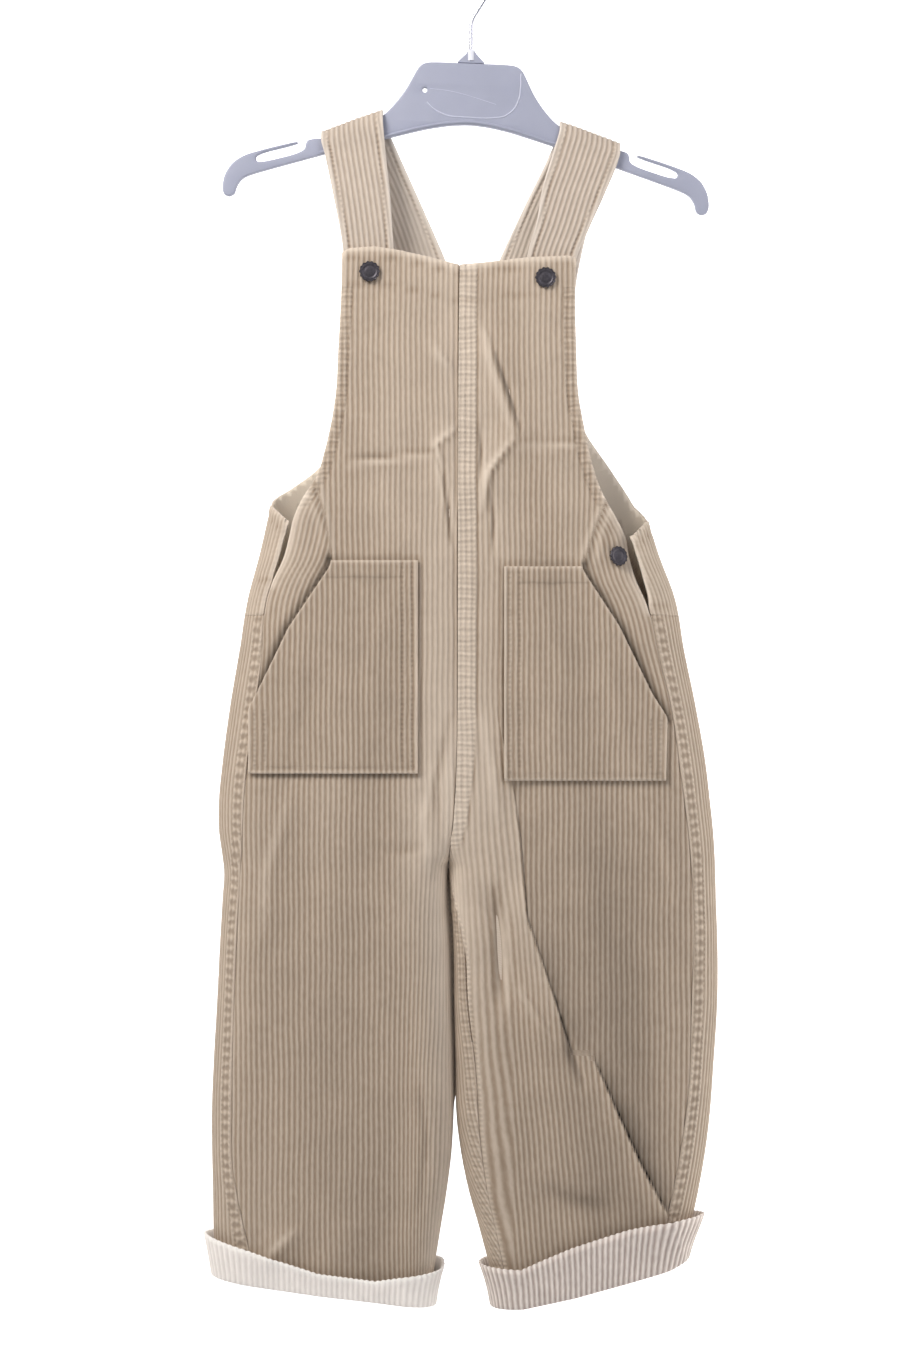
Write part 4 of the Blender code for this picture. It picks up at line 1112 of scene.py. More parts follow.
def back_of(side):
    half = HALF[side]
    turn = np.where(half.downs > CROTCH, depth(side[0] + "_turn", half.downs), 0.0)
    stop = half.total + turn - SEAM / 2 * half.closed - half.outline
    armhole = half.s_of_x(back_edge(side, half.downs), False) - half.outline
    seam = half.s_of_x(front_edge(side, half.downs)) + SEAM / 2 - half.outline

    def limits(down):
        reach = np.clip((down - STRIP_TOP[side]) / 10.0 + 1.0, 0.0, 1.0) ** 1.5
        opening = (1 - reach) * half.per_row(armhole, np.minimum(down, ARMHOLE_END)) + 0.6 * reach
        low = np.where(down <= PLACKET_END + 0.01, opening, half.per_row(seam, down))
        return low, half.per_row(stop, down)

    def top(u, down):
        return np.full(np.shape(down), BACK_TOP)

    def bottom(u, down):
        s = u + half.per_row(half.outline, down)
        return hem(side, "bottom", half.at(s, down)[0]) - WALL - SEAM

    def surface(u, down):
        s = u + half.per_row(half.outline, down)
        point = half.point(s, down, False)
        normal = half.normal(s, down, False)
        x = point[:, 0]
        low, high = limits(down)
        wale_u = u + wander(x, down)
        behind = 0.7 * np.clip((u + 2) / 12, 0.0, 1.0) * np.clip((high - u) / 30, 0.0, 1.0)
        soft = ripple(x, down, BACK_SEED[side], 70.0, 1.0)
        height = (crease_rise(BACK_CREASES, x, down) + soft) * behind
        base = np.zeros(len(u))
        # Painted light and shade on the slopes of the back's creases
        tone = painted_slope_shade(lambda a, b: crease_rise(BACK_CREASES, a, b), x, down) * behind
        ribs = wale_rise(wale_u)
        sewn = np.zeros(len(u))
        for seam_away, from_down, pulls in ((u - low, PLACKET_END + 2, 1.0), (high - u, CROTCH + 12, 0.4)):
            here = after(down, from_down, 2.0)
            band = here / (1 + np.exp((seam_away - SEAM_BAND) / 0.4))
            base = base + 0.35 * band
            tone = tone + 0.04 * band + 0.22 * here * hump(seam_away, 20.0)
            groove = here * np.exp(-((seam_away - SEAM_GROOVE) / 2.6) ** 4)
            height = height - 0.2 * groove
            sewn = np.maximum(sewn, np.where(groove > 0.05, 1 + pulls * groove, 0.0))
        centre = hump(high - u, 2.0) / (1 + np.exp((down - CROTCH_TOP) / 3.0))
        height = height - 0.5 * centre
        for row in BACK_HEM_ROWS:
            hemmed = hump(down - BACK_TOP - row, 0.9)
            height = height - 0.3 * hemmed
            tone = tone - 0.3 * hemmed
        cut = np.stack([wale_u * MM, down * MM, sewn], axis=-1)
        return point, normal, height + ribs, base, cut, tone

    def turned(u, down):
        low, high = limits(down)
        seam = (high - u < 3.0) | ((u - low < 3.0) & (down > ARMHOLE_END))
        joined = (np.abs(down - PLACKET_END) < 5.0) & (u < 6.0)
        return np.where(joined, 0.1, np.where(seam, 0.35, 1.0))

    steps = np.array((ARMHOLE_END, ARMHOLE_END + 0.6, PLACKET_END, PLACKET_END + 0.6))
    rows = np.sort(np.concatenate([np.arange(BACK_TOP, LOWEST_ROW, ROW), steps]))
    # The backs' pale band inside is 24 mm wide: painted light on their shaded insides by the armholes
    return cloth_shell("cloth_back_" + side, side, (-45.0, 200.0), rows, limits, top, bottom, surface,
                       turned, hem=24.0)


back = {side: back_of(side) for side in SIDES}
for side in SIDES:
    sheet_piece(back[side], "back_panel_" + side)

# %% [markdown]
# ## Side openings and pockets
# The strip of the back comes round to the front's edge at each side opening. A pocket lies on its
# front, and its slanting mouth and outer edge follow the same curve of the cloth.

# %% Side strips and pockets
POCKET_THICK = 1.6
POCKET_ROW = 1.6
POCKET_CREASES = {
    "left": ((2.5, 2.5, -0.7, ((-70.0, 386.0), (-60.0, 389.0), (-48.0, 386.0))),
             (4.0, 4.0, 0.6, ((-50.0, 400.0), (-62.0, 440.0), (-58.0, 480.0))),
             (4.0, 4.0, -0.6, ((-96.0, 430.0), (-98.0, 460.0), (-110.0, 490.0)))),
    "right": ((2.5, 2.5, -0.7, ((30.0, 389.0), (42.0, 391.0), (58.0, 388.0))),
              (4.0, 4.0, 0.6, ((40.0, 404.0), (52.0, 440.0), (46.0, 482.0))),
              (4.0, 4.0, -0.6, ((84.0, 430.0), (90.0, 462.0), (98.0, 490.0)))),
}


# %% The strip at a side opening
def strip_of(side):
    half = HALF[side]
    edge = half.s_of_x(front_edge(side, half.downs)) - half.outline
    first = STRIP_TOP[side]

    def limits(down):
        share = np.clip((down - first) / (SLIT_END[side] - first), 0.0, 1.0)
        ajar = SLIT_WIDTH[side] * np.maximum(0.0, np.sin(math.pi * share ** 1.2)) ** 0.8
        return half.per_row(edge, down) + STRIP_GAP + 0.3 + ajar, np.full(np.shape(down), 0.3)

    def top(u, down):
        outline = half.per_row(half.outline, down)
        inwards = np.abs(half.at(u + outline, down)[0] - half.at(outline, down)[0])
        return first + STRIP_SLOPE * np.clip(inwards / 13.0, 0.0, 1.0)

    def bottom(u, down):
        return np.full(np.shape(down), PLACKET_END + 1.9)

    def surface(u, down):
        s = u + half.per_row(half.outline, down)
        point = half.point(s, down, False)
        normal = half.normal(s, down, False)
        low = limits(down)[0]
        hemmed = hump(down - top(u, down) - 7.0, 1.0)
        tacked = hump(down - SLIT_END[side], 1.8) * (u < 0.5 * low)
        tucked = down > PLACKET_END + 0.6
        wale_u = u + wander(point[:, 0], down)
        height = wale_rise(wale_u) - 0.4 * hemmed - 0.5 * tacked - 1.4 * tucked
        tone = 0.3 - 0.3 * hemmed - 0.4 * tacked + 0.3 * hump(u - low, 1.6)
        cut = np.stack([wale_u * MM, down * MM, 0.2 * (u - low < 6.0)], axis=-1)
        return point, normal, height, np.zeros(len(u)), cut, tone

    def turned(u, down):
        return np.where((down > PLACKET_END - 4.0) | (u > -3.0), 0.1, 1.0)

    rows = np.arange(first, PLACKET_END - ROW, ROW)
    rows = np.concatenate([rows, PLACKET_END + np.array((-0.5, 0.5, 0.65, 1.9))])
    return cloth_shell("strip_" + side, side, (-45.0, 12.0), rows, limits, top, bottom, surface, turned)


# %% A patch pocket
def pocket_of(side):
    half = HALF[side]
    cut_to = POCKET[side]
    ref = half.s_of_x(REF_X[side])
    edge = half.s_of_x(front_edge(side, half.downs))
    inner, outer = POCKET_EDGES[side]

    def limits(down):
        middle = half.per_row(ref, down)
        return half.per_row(inner, down) - middle, half.per_row(outer, down) - middle

    def top(u, down):
        return np.full(np.shape(down), cut_to["top"])

    def bottom(u, down):
        return np.full(np.shape(down), cut_to["bottom"])

    def surface(u, down):
        middle = half.per_row(ref, down)
        s = u + middle
        point = half.point(s, down, True)
        normal = half.normal(s, down, True)
        x = point[:, 0]
        low, high = limits(down)
        under = front_unevenness(side, x, down, half.per_row(edge, down) - s)
        own = crease_rise(POCKET_CREASES[side], x, down)
        base = fold_rise(x, down) + np.maximum(under, -0.4) + FOLD_GAP + POCKET_THICK
        height = np.maximum(own, -0.4)
        # Painted light and shade: the pocket is paler where the cloth beneath rises and darker in its
        # troughs
        tone = 0.25 * np.clip(under + own, -1, 1)
        mouth = down < cut_to["outer"][-2][0] + 2.0
        sides = np.where(mouth, u - low, np.minimum(u - low, high - u))
        floor = cut_to["bottom"] - down
        ceiling = down - cut_to["top"]
        sewn = np.zeros(len(u))
        # Distance from an edge, where the row of stitches lies, depth of its groove
        stitching = ((sides, 3.4, 0.35), (sides, 9.2, 0.35), (floor, 3.0, 0.35), (ceiling, 10.0, 0.3))
        for away, row, deep in stitching:
            groove = hump(away - row, 1.0) * (sides > row - 1.5) * (floor > row - 1.5)
            height = height - deep * groove
            tone = tone - 0.25 * groove
            sewn = np.maximum(sewn, 0.6 * groove)
        rim = hump(np.minimum(np.minimum(sides, floor), ceiling), 1.6)
        lip = mouth * hump(high - u, 1.8)
        height = height + 0.9 * rim + 0.5 * lip
        rim = rim + 0.3 * lip
        wale_u = u + 0.8 + wander(x + 40.0, down)
        cut = np.stack([wale_u * MM, down * MM, sewn], axis=-1)
        return point, normal, height + wale_rise(wale_u), base, cut, tone - 0.08 + 0.35 * rim

    def turned(u, down):
        return np.full(np.shape(u), 0.7)

    rows = np.arange(cut_to["top"], cut_to["bottom"] + POCKET_ROW, POCKET_ROW)
    return cloth_shell("patch_pocket_" + side, side, (-125.0, 125.0), rows, limits, top, bottom, surface,
                       turned, thick=POCKET_THICK)


strip = {side: strip_of(side) for side in SIDES}
pocket = {side: pocket_of(side) for side in SIDES}
for side in SIDES:
    sheet_piece(strip[side], "side_placket_" + side)
    sheet_piece(pocket[side], "pocket_" + side)

# %% [markdown]
# ## Turn-ups
# The leg's own end is folded up outside. In the photo its ribs show, and it is much paler than the
# leg, so it has a finish of its own.
# Each is one closed ring. Its section goes down the outside of the leg, round the fold at the bottom
# and in under the leg's edge.

# %% The turn-ups
# Painted light: the left turn-up is painted paler and the right one darker, for the lamps' unequal light on
# them
CUFF_PAINTED_LIGHT = {"left": 0.8, "right": -0.25}
CUFF_LEVEL = 800.0


def cuff_of(side):
    half = HALF[side]
    total = float(half.per_row(half.total, CUFF_LEVEL))
    count = round(total / WALE) * RIB_COLUMNS
    where = np.arange(count) / count
    x, y = half.at(where * total, CUFF_LEVEL)
    low = hem(side, "bottom", x)
    is_front = 1 / (1 + np.exp(y / 1.5))
    high = is_front * hem(side, "top_front", x) + (1 - is_front) * hem(side, "top_back", x)
    tall = low - high
    ribs = WALE_HEIGHT * ((0.5 + 0.5 * np.cos(math.tau * where * count / RIB_COLUMNS)) ** 0.7 - 0.62) * 1.25
    high = high - 0.55 * (ribs / WALE_HEIGHT)
    section = []
    for share in np.linspace(0.0, 1.0, 9):
        flare = CUFF_FLARE * (1 - share) ** 1.3
        section.append((CUFF_CLEAR + WALL + flare, low - tall * (1 - share) - 1.2 * (share == 1.0), 1.0))
    section += [(CUFF_CLEAR + WALL * 0.6, low - 0.3, 0.6), (0.0, low, 0.3), (-WALL, low - 0.2, 0.0)]
    section += [(-WALL, low - WALL, 0.0), (CUFF_CLEAR, low - WALL - 0.2, 0.0)]
    for share in (0.7, 0.4, 0.0):
        section.append((CUFF_CLEAR + CUFF_FLARE * (1 - share) ** 1.3, low - tall * (1 - share) + 0.2, 0.0))
    section.append((CUFF_CLEAR + WALL * 0.5 + CUFF_FLARE, high - 0.35, 0.4))
    loops = []
    tones = []
    cuts = []
    for away, down, ribbed in section:
        s = where * half.per_row(half.total, down)
        point = half.point(s, down, False)
        normal = half.normal(s, down, False)
        normal[:, 2] = 0
        normal /= np.linalg.norm(normal, axis=1, keepdims=True)
        uneven = front_unevenness(side, point[:, 0], down, 40.0) * is_front
        rise = np.maximum(0.0, fold_rise(point[:, 0], down)) * is_front + np.maximum(0.0, uneven)
        loops.append(point + normal * (away + rise + ribs * ribbed)[:, None])
        # Painted light for each turn-up, and a paler top edge
        tones.append(CUFF_PAINTED_LIGHT[side] + 0.5 * hump(down - high, 2.0))
        across = where * count / RIB_COLUMNS * WALE * MM
        cuts.append(np.stack([across, down * MM, np.zeros(count)], axis=-1))
    rows = len(section)
    index = np.arange(rows * count).reshape(rows, count)
    beside = np.roll(index, -1, axis=1)
    faces = two_triangles(index, beside, np.roll(beside, -1, axis=0), np.roll(index, -1, axis=0))
    piece = mesh_piece("turn_up_" + side, np.concatenate(loops), faces, np.concatenate(cuts),
                       np.concatenate(tones), side == "right", None, (cuff_cloth,))
    print(piece.name, len(faces), "triangles, ring", round(total), "mm round")
    return piece


cuff = {side: cuff_of(side) for side in SIDES}
for side in SIDES:
    sheet_piece(cuff[side], "cuff_" + side)

# %% [markdown]
# ## Straps
# A real strap is a tube of cloth pressed flat, stitched along both edges.
# A strap is swept along two edge lines: up behind the bib, over the arm of the hanger, and down to
# the centre back. Its wales run lengthwise on both faces.

# %% The straps
STRAP_THICK = 2.6
STRAP_BEND = 5.0
STRAP_STEP = 1.6
STRAP_POINTS = 72
STRAP_STITCH = 4.0
# x and drop of the outer edge, the same of the inner edge, and y
STRAP_FRONT = {
    "left": (
        (-75.2, 219.0, -44.0, 219.0, -10.6),
        (-76.6, 189.0, -46.2, 189.0, -10.6),
        (-82.6, 156.0, -48.6, 154.0, -8.4),
        (-87.6, 132.0, -51.4, 128.0, -5.6),
    ),
    "right": (
        (61.0, 219.0, 30.8, 219.0, -10.6),
        (63.2, 195.0, 33.6, 193.0, -10.6),
        (70.2, 178.0, 39.0, 174.0, -9.2),
        (79.2, 158.0, 42.4, 154.0, -7.6),
        (87.8, 137.0, 49.4, 130.0, -5.4),
    ),
}
STRAP_CREST = {
    "left": (-89.7, 119.0, -52.8, 105.4),
    "right": (89.4, 126.0, 53.2, 112.4),
}
STRAP_BACK = {
    "left": (
        (-86.4, 131.0, -45.6, 126.0, 5.6),
        (-74.4, 159.0, -30.7, 159.0, 8.0),
        (-65.4, 194.0, -15.3, 194.0, 9.4),
        (-63.6, 231.0, -0.4, 231.0, 7.4),
        (-62.8, 241.0, -0.4, 241.0, 7.0),
    ),
    "right": (
        (87.4, 137.0, 47.2, 131.0, 5.6),
        (75.8, 159.0, 33.6, 159.0, 8.0),
        (66.0, 194.0, 17.1, 194.0, 9.4),
        (60.8, 231.0, 0.8, 231.0, 7.4),
        (60.0, 241.0, 0.8, 241.0, 7.0),
    ),
}


def strap_rows(side):
    rows = [np.array(row) for row in STRAP_FRONT[side]]
    x_outer, down_outer, x_inner, down_inner = STRAP_CREST[side]
    for angle in (-80, -54, -27, 0, 27, 54, 80):
        lift = STRAP_BEND * (1 - math.cos(math.radians(angle)))
        y = STRAP_BEND * math.sin(math.radians(angle))
        rows.append(np.array((x_outer, down_outer + lift, x_inner, down_inner + lift, y)))
    rows.extend(np.array(row) for row in STRAP_BACK[side])
    return np.array(rows)


# %% A strap as a closed bar
def bar_faces(count, length):
    """Triangles of a bar with `count` lines of points along it, and of its two ends"""
    index = np.arange(count * length).reshape(count, length)
    beside = np.roll(index, -1, axis=0)
    faces = [two_triangles(index[:, :-1], beside[:, :-1], beside[:, 1:], index[:, 1:])]
    half = count // 2
    for end in (0, length - 1):
        line = index[:half, end]
        facing = index[half:, end][::-1]
        faces.append(two_triangles(line[:-1], facing[:-1], facing[1:], line[1:]))
    return np.concatenate(faces)


def strap_of(side):
    rows = strap_rows(side)
    outer = np.stack([rows[:, 0], rows[:, 4], -rows[:, 1]], axis=1)
    inner = np.stack([rows[:, 2], rows[:, 4], -rows[:, 3]], axis=1)
    moves = [np.linalg.norm(np.diff(line, axis=0), axis=1) for line in (outer, inner)]
    lengths = np.concatenate([[0.0], np.cumsum((moves[0] + moves[1]) / 2)])
    marks = np.arange(0.0, lengths[-1], STRAP_STEP)
    marks = np.append(marks, lengths[-1])
    edge = np.stack([smooth(marks, lengths, outer[:, k]) for k in range(3)], axis=1)
    other = np.stack([smooth(marks, lengths, inner[:, k]) for k in range(3)], axis=1)
    along = np.gradient((edge + other) / 2, axis=0)
    across = other - edge
    width = np.linalg.norm(across, axis=1)
    across = across / width[:, None]
    normal = np.cross(across, along)
    normal /= np.linalg.norm(normal, axis=1, keepdims=True)
    crest = lengths[len(STRAP_FRONT[side]) + 3]
    shares = np.linspace(0.0, 1.0, STRAP_POINTS)
    points, cuts, tones = [], [], []
    for face in (1, -1):
        order = shares if face > 0 else shares[::-1]
        for share in order:
            u = width * (share - 0.5)
            inset = np.minimum(share, 1 - share) * width
            rim = np.maximum(0.0, 1 - inset / 1.2) ** 2
            stitched = hump(inset - STRAP_STITCH, 0.8)
            wavy = 0.2 * np.sin(marks / 17.0 + share * 5) + 0.15 * np.sin(marks / 7.3 + share * 9)
            ribs = wale_rise(u) - 0.25
            height = STRAP_THICK / 2 - 0.85 * rim - 0.3 * stitched + ribs * (1 - rim) + wavy * 0.5
            points.append(edge + across * (share * width)[:, None] + normal * (face * height)[:, None])
            cuts.append(np.stack([u * MM, marks * MM, stitched], axis=1))
            tone = 0.15 + 0.7 * hump(inset, 2.2) - 0.3 * stitched
            # Painted light on the strap's outer face where it hangs down behind the hanger
            tones.append(tone + 0.42 * (face == SIDES[side]) * (marks > crest))
    piece = mesh_piece("shoulder_strap_" + side, np.concatenate(points), bar_faces(len(points), len(marks)),
                       np.concatenate(cuts), np.concatenate(tones), False, None, (strap_cloth,))
    turn_outwards(piece)
    print(piece.name, len(piece.data.polygons), "triangles,", round(float(lengths[-1])), "mm long")
    return piece


def turn_outwards(piece):
    mesh = bmesh.new()
    mesh.from_mesh(piece.data)
    bmesh.ops.recalc_face_normals(mesh, faces=mesh.faces)
    mesh.to_mesh(piece.data)
    mesh.free()


straps = {side: strap_of(side) for side in SIDES}
for side in SIDES:
    sheet_piece(straps[side], "strap_" + side)

# %% [markdown]
# ## Press fasteners, hanger and hook
# The hard pieces stand where their CAD nodes are. A cap is pressed from sheet metal and plated dark.
# Its profile is turned round an axis, as on a lathe, and the rim is crimped into small teeth after.

# %% Press fastener caps
BIB_SNAPS = {"left": (-60.4, 204.0, 12.8), "right": (44.3, 207.6, 12.8)}
SIDE_SNAP = (86.4, 373.8, 12.3)
BIB_SNAP_CLEAR = 0.6
SIDE_SNAP_CLEAR = 1.2
# Share of the diameter, height in millimetres
CAP_PROFILE = ((0.0, 1.45), (0.12, 1.45), (0.20, 1.4), (0.25, 1.2), (0.30, 1.2), (0.33, 1.5), (0.375, 1.62),
               (0.41, 1.4), (0.43, 1.5), (0.46, 1.7), (0.49, 1.5), (0.5, 1.0), (0.49, 0.2), (0.46, 0.0),
               (0.0, 0.0))


def gunmetal_finish():
    """Dark plated caps, with the plating rubbed in spots"""
    made, tree, shader = material("dark_gunmetal_plating")
    place = add(tree, "ShaderNodeTexCoord").outputs["Object"]
    spots = add(tree, "ShaderNodeTexNoise", Vector=place, Scale=900.0, Detail=4.0).outputs["Fac"]
    tree.links.new(mix(tree, spots, colour("35323a"), colour("5d5a60")), shader.inputs["Base Color"])
    rough = add(tree, "ShaderNodeMapRange", Value=spots, To_Min=0.32, To_Max=0.55).outputs[0]
    tree.links.new(rough, shader.inputs["Roughness"])
    shader.inputs["Metallic"].default_value = 0.75
    return made


gunmetal = gunmetal_finish()
CAP_TEETH = 14


# %% A turned cap
def cap(name, node, x, down, across, clearance):
    half = HALF["left" if x < 0 else "right"]
    s = float(half.per_row(half.s_of_x(x), down))
    point = half.point(np.array([s]), down, True)[0]
    normal = half.normal(np.array([s]), down, True)[0]
    mesh = bmesh.new()
    verts = [mesh.verts.new((share * across * MM, 0, up * MM)) for share, up in CAP_PROFILE]
    for a, b in zip(verts, verts[1:]):
        mesh.edges.new((a, b))
    bmesh.ops.spin(mesh, geom=mesh.verts[:] + mesh.edges[:], axis=(0, 0, 1), cent=(0, 0, 0),
                   angle=math.tau, steps=56, use_duplicate=False)
    bmesh.ops.remove_doubles(mesh, verts=mesh.verts, dist=1e-6)
    bmesh.ops.recalc_face_normals(mesh, faces=mesh.faces)
    widest = max(math.hypot(vert.co.x, vert.co.y) for vert in mesh.verts)
    for vert in mesh.verts:
        if math.hypot(vert.co.x, vert.co.y) > 0.9 * widest:
            tooth = 0.945 + 0.055 * math.cos(CAP_TEETH * math.atan2(vert.co.y, vert.co.x))
            vert.co.x *= tooth
            vert.co.y *= tooth
    lift = clearance + float(fold_rise(np.array([x]), down)[0])
    turn = Vector((0, 0, 1)).rotation_difference(Vector(normal)).to_matrix().to_4x4()
    mesh.transform(Matrix.Translation(Vector(point + normal * lift) * MM) @ turn)
    data = bpy.data.meshes.new(name)
    mesh.to_mesh(data)
    mesh.free()
    data.shade_smooth()
    data.set_sharp_from_angle(angle=math.radians(50))
    data.materials.append(gunmetal)
    piece = placed(name, data)
    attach(piece, "root")
    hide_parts(node)
    return piece


caps = [cap("cap_bib_" + side, "bib_snap_" + side, *BIB_SNAPS[side], BIB_SNAP_CLEAR) for side in SIDES]
caps.append(cap("cap_side_right", "side_snap_right", *SIDE_SNAP, SIDE_SNAP_CLEAR))
print("caps:", [piece.name for piece in caps])

# %% The hanger's plate
PLATE = 5.0
TILT = 2.3
COLLAR_BASE = 76.5
# Half of the hanger's outline, in its own upright frame: x, drop below the collar's base
HANGER_TOP = ((0.0, 0.9), (24.0, 0.9), (28.6, 2.0), (31.4, 4.6), (34.3, 10.2), (38.6, 18.6),
              (44.0, 26.2), (49.5, 32.4), (54.0, 36.2), (66.0, 42.2), (88.0, 49.6), (91.5, 49.4))
HANGER_SLOT = ((96.8, 51.0), (97.6, 57.9), (126.0, 66.1), (126.8, 60.4), (101.6, 53.2), (102.0, 51.6))
HANGER_END = ((120.0, 56.6), (134.0, 61.2), (141.0, 66.4), (145.0, 73.4), (146.2, 81.0), (145.0, 85.0),
              (141.6, 86.4), (138.4, 84.6), (137.2, 79.6), (134.4, 75.4), (129.0, 72.4))
HANGER_UNDER = ((88.5, 59.6), (66.0, 52.6), (47.5, 47.4), (25.5, 41.2), (12.0, 38.6), (0.0, 37.6))
HANGER_HOLE = (-27.0, 17.9, 3.0)
EDGE_ROUND = 0.9


# %% Frosted plastic
def frosted_plastic(name, dull_code, clear_code):
    """Grey plastic, frosted, that lets a little light through"""
    made, tree, shader = material(name)
    place = add(tree, "ShaderNodeTexCoord").outputs["Object"]
    cloudy = add(tree, "ShaderNodeTexNoise", Vector=place, Scale=35.0, Detail=3.0).outputs["Fac"]
    grain = add(tree, "ShaderNodeTexNoise", Vector=place, Scale=2600.0, Detail=2.0).outputs["Fac"]
    tree.links.new(mix(tree, cloudy, colour(dull_code), colour(clear_code)), shader.inputs["Base Color"])
    bump = add(tree, "ShaderNodeBump", Strength=0.15, Distance=0.0001, Height=grain).outputs[0]
    tree.links.new(bump, shader.inputs["Normal"])
    shader.inputs["Roughness"].default_value = 0.42
    shader.inputs["Subsurface Weight"].default_value = 0.25
    shader.inputs["Subsurface Radius"].default_value = (0.004, 0.004, 0.005)
    return made


plastic = frosted_plastic("frosted_grey_plastic", "9a9eb1", "a9adc0")
# The same plastic painted much paler: painted highlight on the collar's socket
painted_bright_plastic = frosted_plastic("frosted_plastic_painted_bright", "dcdfec", "eceef6")
# The same plastic painted paler: painted highlight on the raised lines
painted_highlight_plastic = frosted_plastic("frosted_plastic_painted_highlight", "bec2d4", "c8cbdc")


def hanger_frame():
    return Matrix.Translation((0, 0, -COLLAR_BASE * MM)) @ Matrix.Rotation(math.radians(TILT), 4, "Y")


# %% From an outline to a plate
def rounded_path(points, passes=2):
    """Corners cut twice over, which turns a plain outline into a flowing one."""
    for _ in range(passes):
        cut = []
        for (ax, ay), (bx, by) in zip(points, points[1:] + points[:1]):
            cut.append((ax * 0.8 + bx * 0.2, ay * 0.8 + by * 0.2))
            cut.append((ax * 0.2 + bx * 0.8, ay * 0.2 + by * 0.8))
        points = cut
    return points


def flat_curve(name, paths, extrude, bevel, offset=0.0):
    curve = bpy.data.curves.new(name, "CURVE")
    curve.dimensions = "2D"
    curve.fill_mode = "BOTH"
    curve.extrude = extrude * MM
    curve.bevel_depth = bevel * MM
    curve.bevel_resolution = 3
    curve.offset = offset * MM
    for path in paths:
        line = curve.splines.new("POLY")
        line.points.add(len(path) - 1)
        line.use_cyclic_u = True
        for point, (x, d) in zip(line.points, path):
            point.co = (x * MM, -d * MM, 0, 1)
    return curve


def as_mesh(name, curve, matrix, finish, node=None):
    """The curve as a mesh, standing up in the hanger's plane."""
    holder = placed(name + "_curve", curve)
    data = bpy.data.meshes.new_from_object(holder.evaluated_get(bpy.context.evaluated_depsgraph_get()))
    bpy.data.objects.remove(holder)
    data.name = name
    data.transform(matrix)
    mesh = bmesh.new()
    mesh.from_mesh(data)
    bmesh.ops.remove_doubles(mesh, verts=mesh.verts, dist=1e-6)
    bmesh.ops.recalc_face_normals(mesh, faces=mesh.faces)
    mesh.to_mesh(data)
    mesh.free()
    data.materials.clear()
    data.materials.append(finish)
    data.shade_smooth()
    data.set_sharp_from_angle(angle=math.radians(40))
    piece = placed(name, data)
    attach(piece, "root")
    if node:
        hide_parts(node)
    return piece


def hanger_plate():
    half = list(HANGER_TOP) + list(HANGER_SLOT) + list(HANGER_END) + list(HANGER_UNDER)
    outline = half + [(-x, d) for x, d in half[-2:0:-1]]
    x, d, across = HANGER_HOLE
    around = np.linspace(0, math.tau, 25)[:-1]
    hole = [(x + across / 2 * math.cos(a), d + across / 2 * math.sin(a)) for a in around]
    curve = flat_curve("plate", [rounded_path(outline), hole], PLATE / 2 - EDGE_ROUND, EDGE_ROUND,
                       -EDGE_ROUND)
    stand = hanger_frame() @ Matrix.Rotation(math.pi / 2, 4, "X")
    return as_mesh("hanger_plate", curve, stand, plastic, "hanger_body")


plate = hanger_plate()
print(plate.name, len(plate.data.polygons), "faces")

# %% [markdown]
# The hook is bent steel wire. A curve with a round bevel gives the same section all along it. The
# collar stands on the plate, and the hook's wire comes out of it. A thin line is embossed on the
# plate, and a thicker rim runs along its under edge.

# %% The hook's wire
HOOK_WIRE = 2.5
HOOK_RADIUS = 18.5
SHANK_BEND = 52.1
SHANK_END = 74.0
HOOK_END_ANGLE = 208.0


def bright_wire():
    """Bright plated steel wire"""
    made, tree, shader = material("bright_plated_wire")
    place = add(tree, "ShaderNodeTexCoord").outputs["Object"]
    drawn = add(tree, "ShaderNodeTexNoise", Vector=place, Scale=700.0, Detail=2.0).outputs["Fac"]
    rough = add(tree, "ShaderNodeMapRange", Value=drawn, To_Min=0.18, To_Max=0.34).outputs[0]
    tree.links.new(rough, shader.inputs["Roughness"])
    shader.inputs["Base Color"].default_value = colour("c3c5d0")
    shader.inputs["Metallic"].default_value = 1.0
    return made


def tube(name, points, radius, matrix, finish, node=None):
    """A round bar along points (x, height) in the hanger's plane, in millimetres."""
    curve = bpy.data.curves.new(name, "CURVE")
    curve.dimensions = "3D"
    curve.bevel_depth = radius * MM
    curve.bevel_resolution = 4
    curve.use_fill_caps = True
    line = curve.splines.new("POLY")
    line.points.add(len(points) - 1)
    for point, place in zip(line.points, points):
        x, z = place[:2]
        y = place[2] if len(place) > 2 else 0.0
        point.co = (x * MM, y * MM, z * MM, 1)
    return as_mesh(name, curve, matrix, finish, node)


# %% The way the hook's wire runs
def hook_route():
    centre = Vector((0, HOOK_WIRE / 2 - HOOK_RADIUS))
    bend = Vector((0, -SHANK_BEND))
    apart = (centre - bend).length
    lean_angle = math.asin(HOOK_RADIUS / apart)
    reach = math.sqrt(apart ** 2 - HOOK_RADIUS ** 2)
    direction = Vector((math.sin(lean_angle), math.cos(lean_angle)))
    start = Vector((0, -SHANK_BEND - 4))
    end = bend + direction * 4
    route = [Vector((0, -SHANK_END)), start]
    for t in (0.2, 0.4, 0.6, 0.8):
        route.append(start * (1 - t) ** 2 + bend * 2 * t * (1 - t) + end * t * t)
    route += [bend + direction * along for along in (4, reach * 0.4, reach * 0.75)]
    for degrees in range(-int(math.degrees(lean_angle)), int(HOOK_END_ANGLE) + 1, 4):
        angle = math.radians(degrees)
        route.append(centre + Vector((math.cos(angle), math.sin(angle))) * HOOK_RADIUS)
    return [tuple(point) for point in route]


wire = bright_wire()
hook = tube("hook_wire", hook_route(), HOOK_WIRE / 2, Matrix(), wire, "hanger_hook")
print(hook.name, len(hook.data.polygons), "faces")

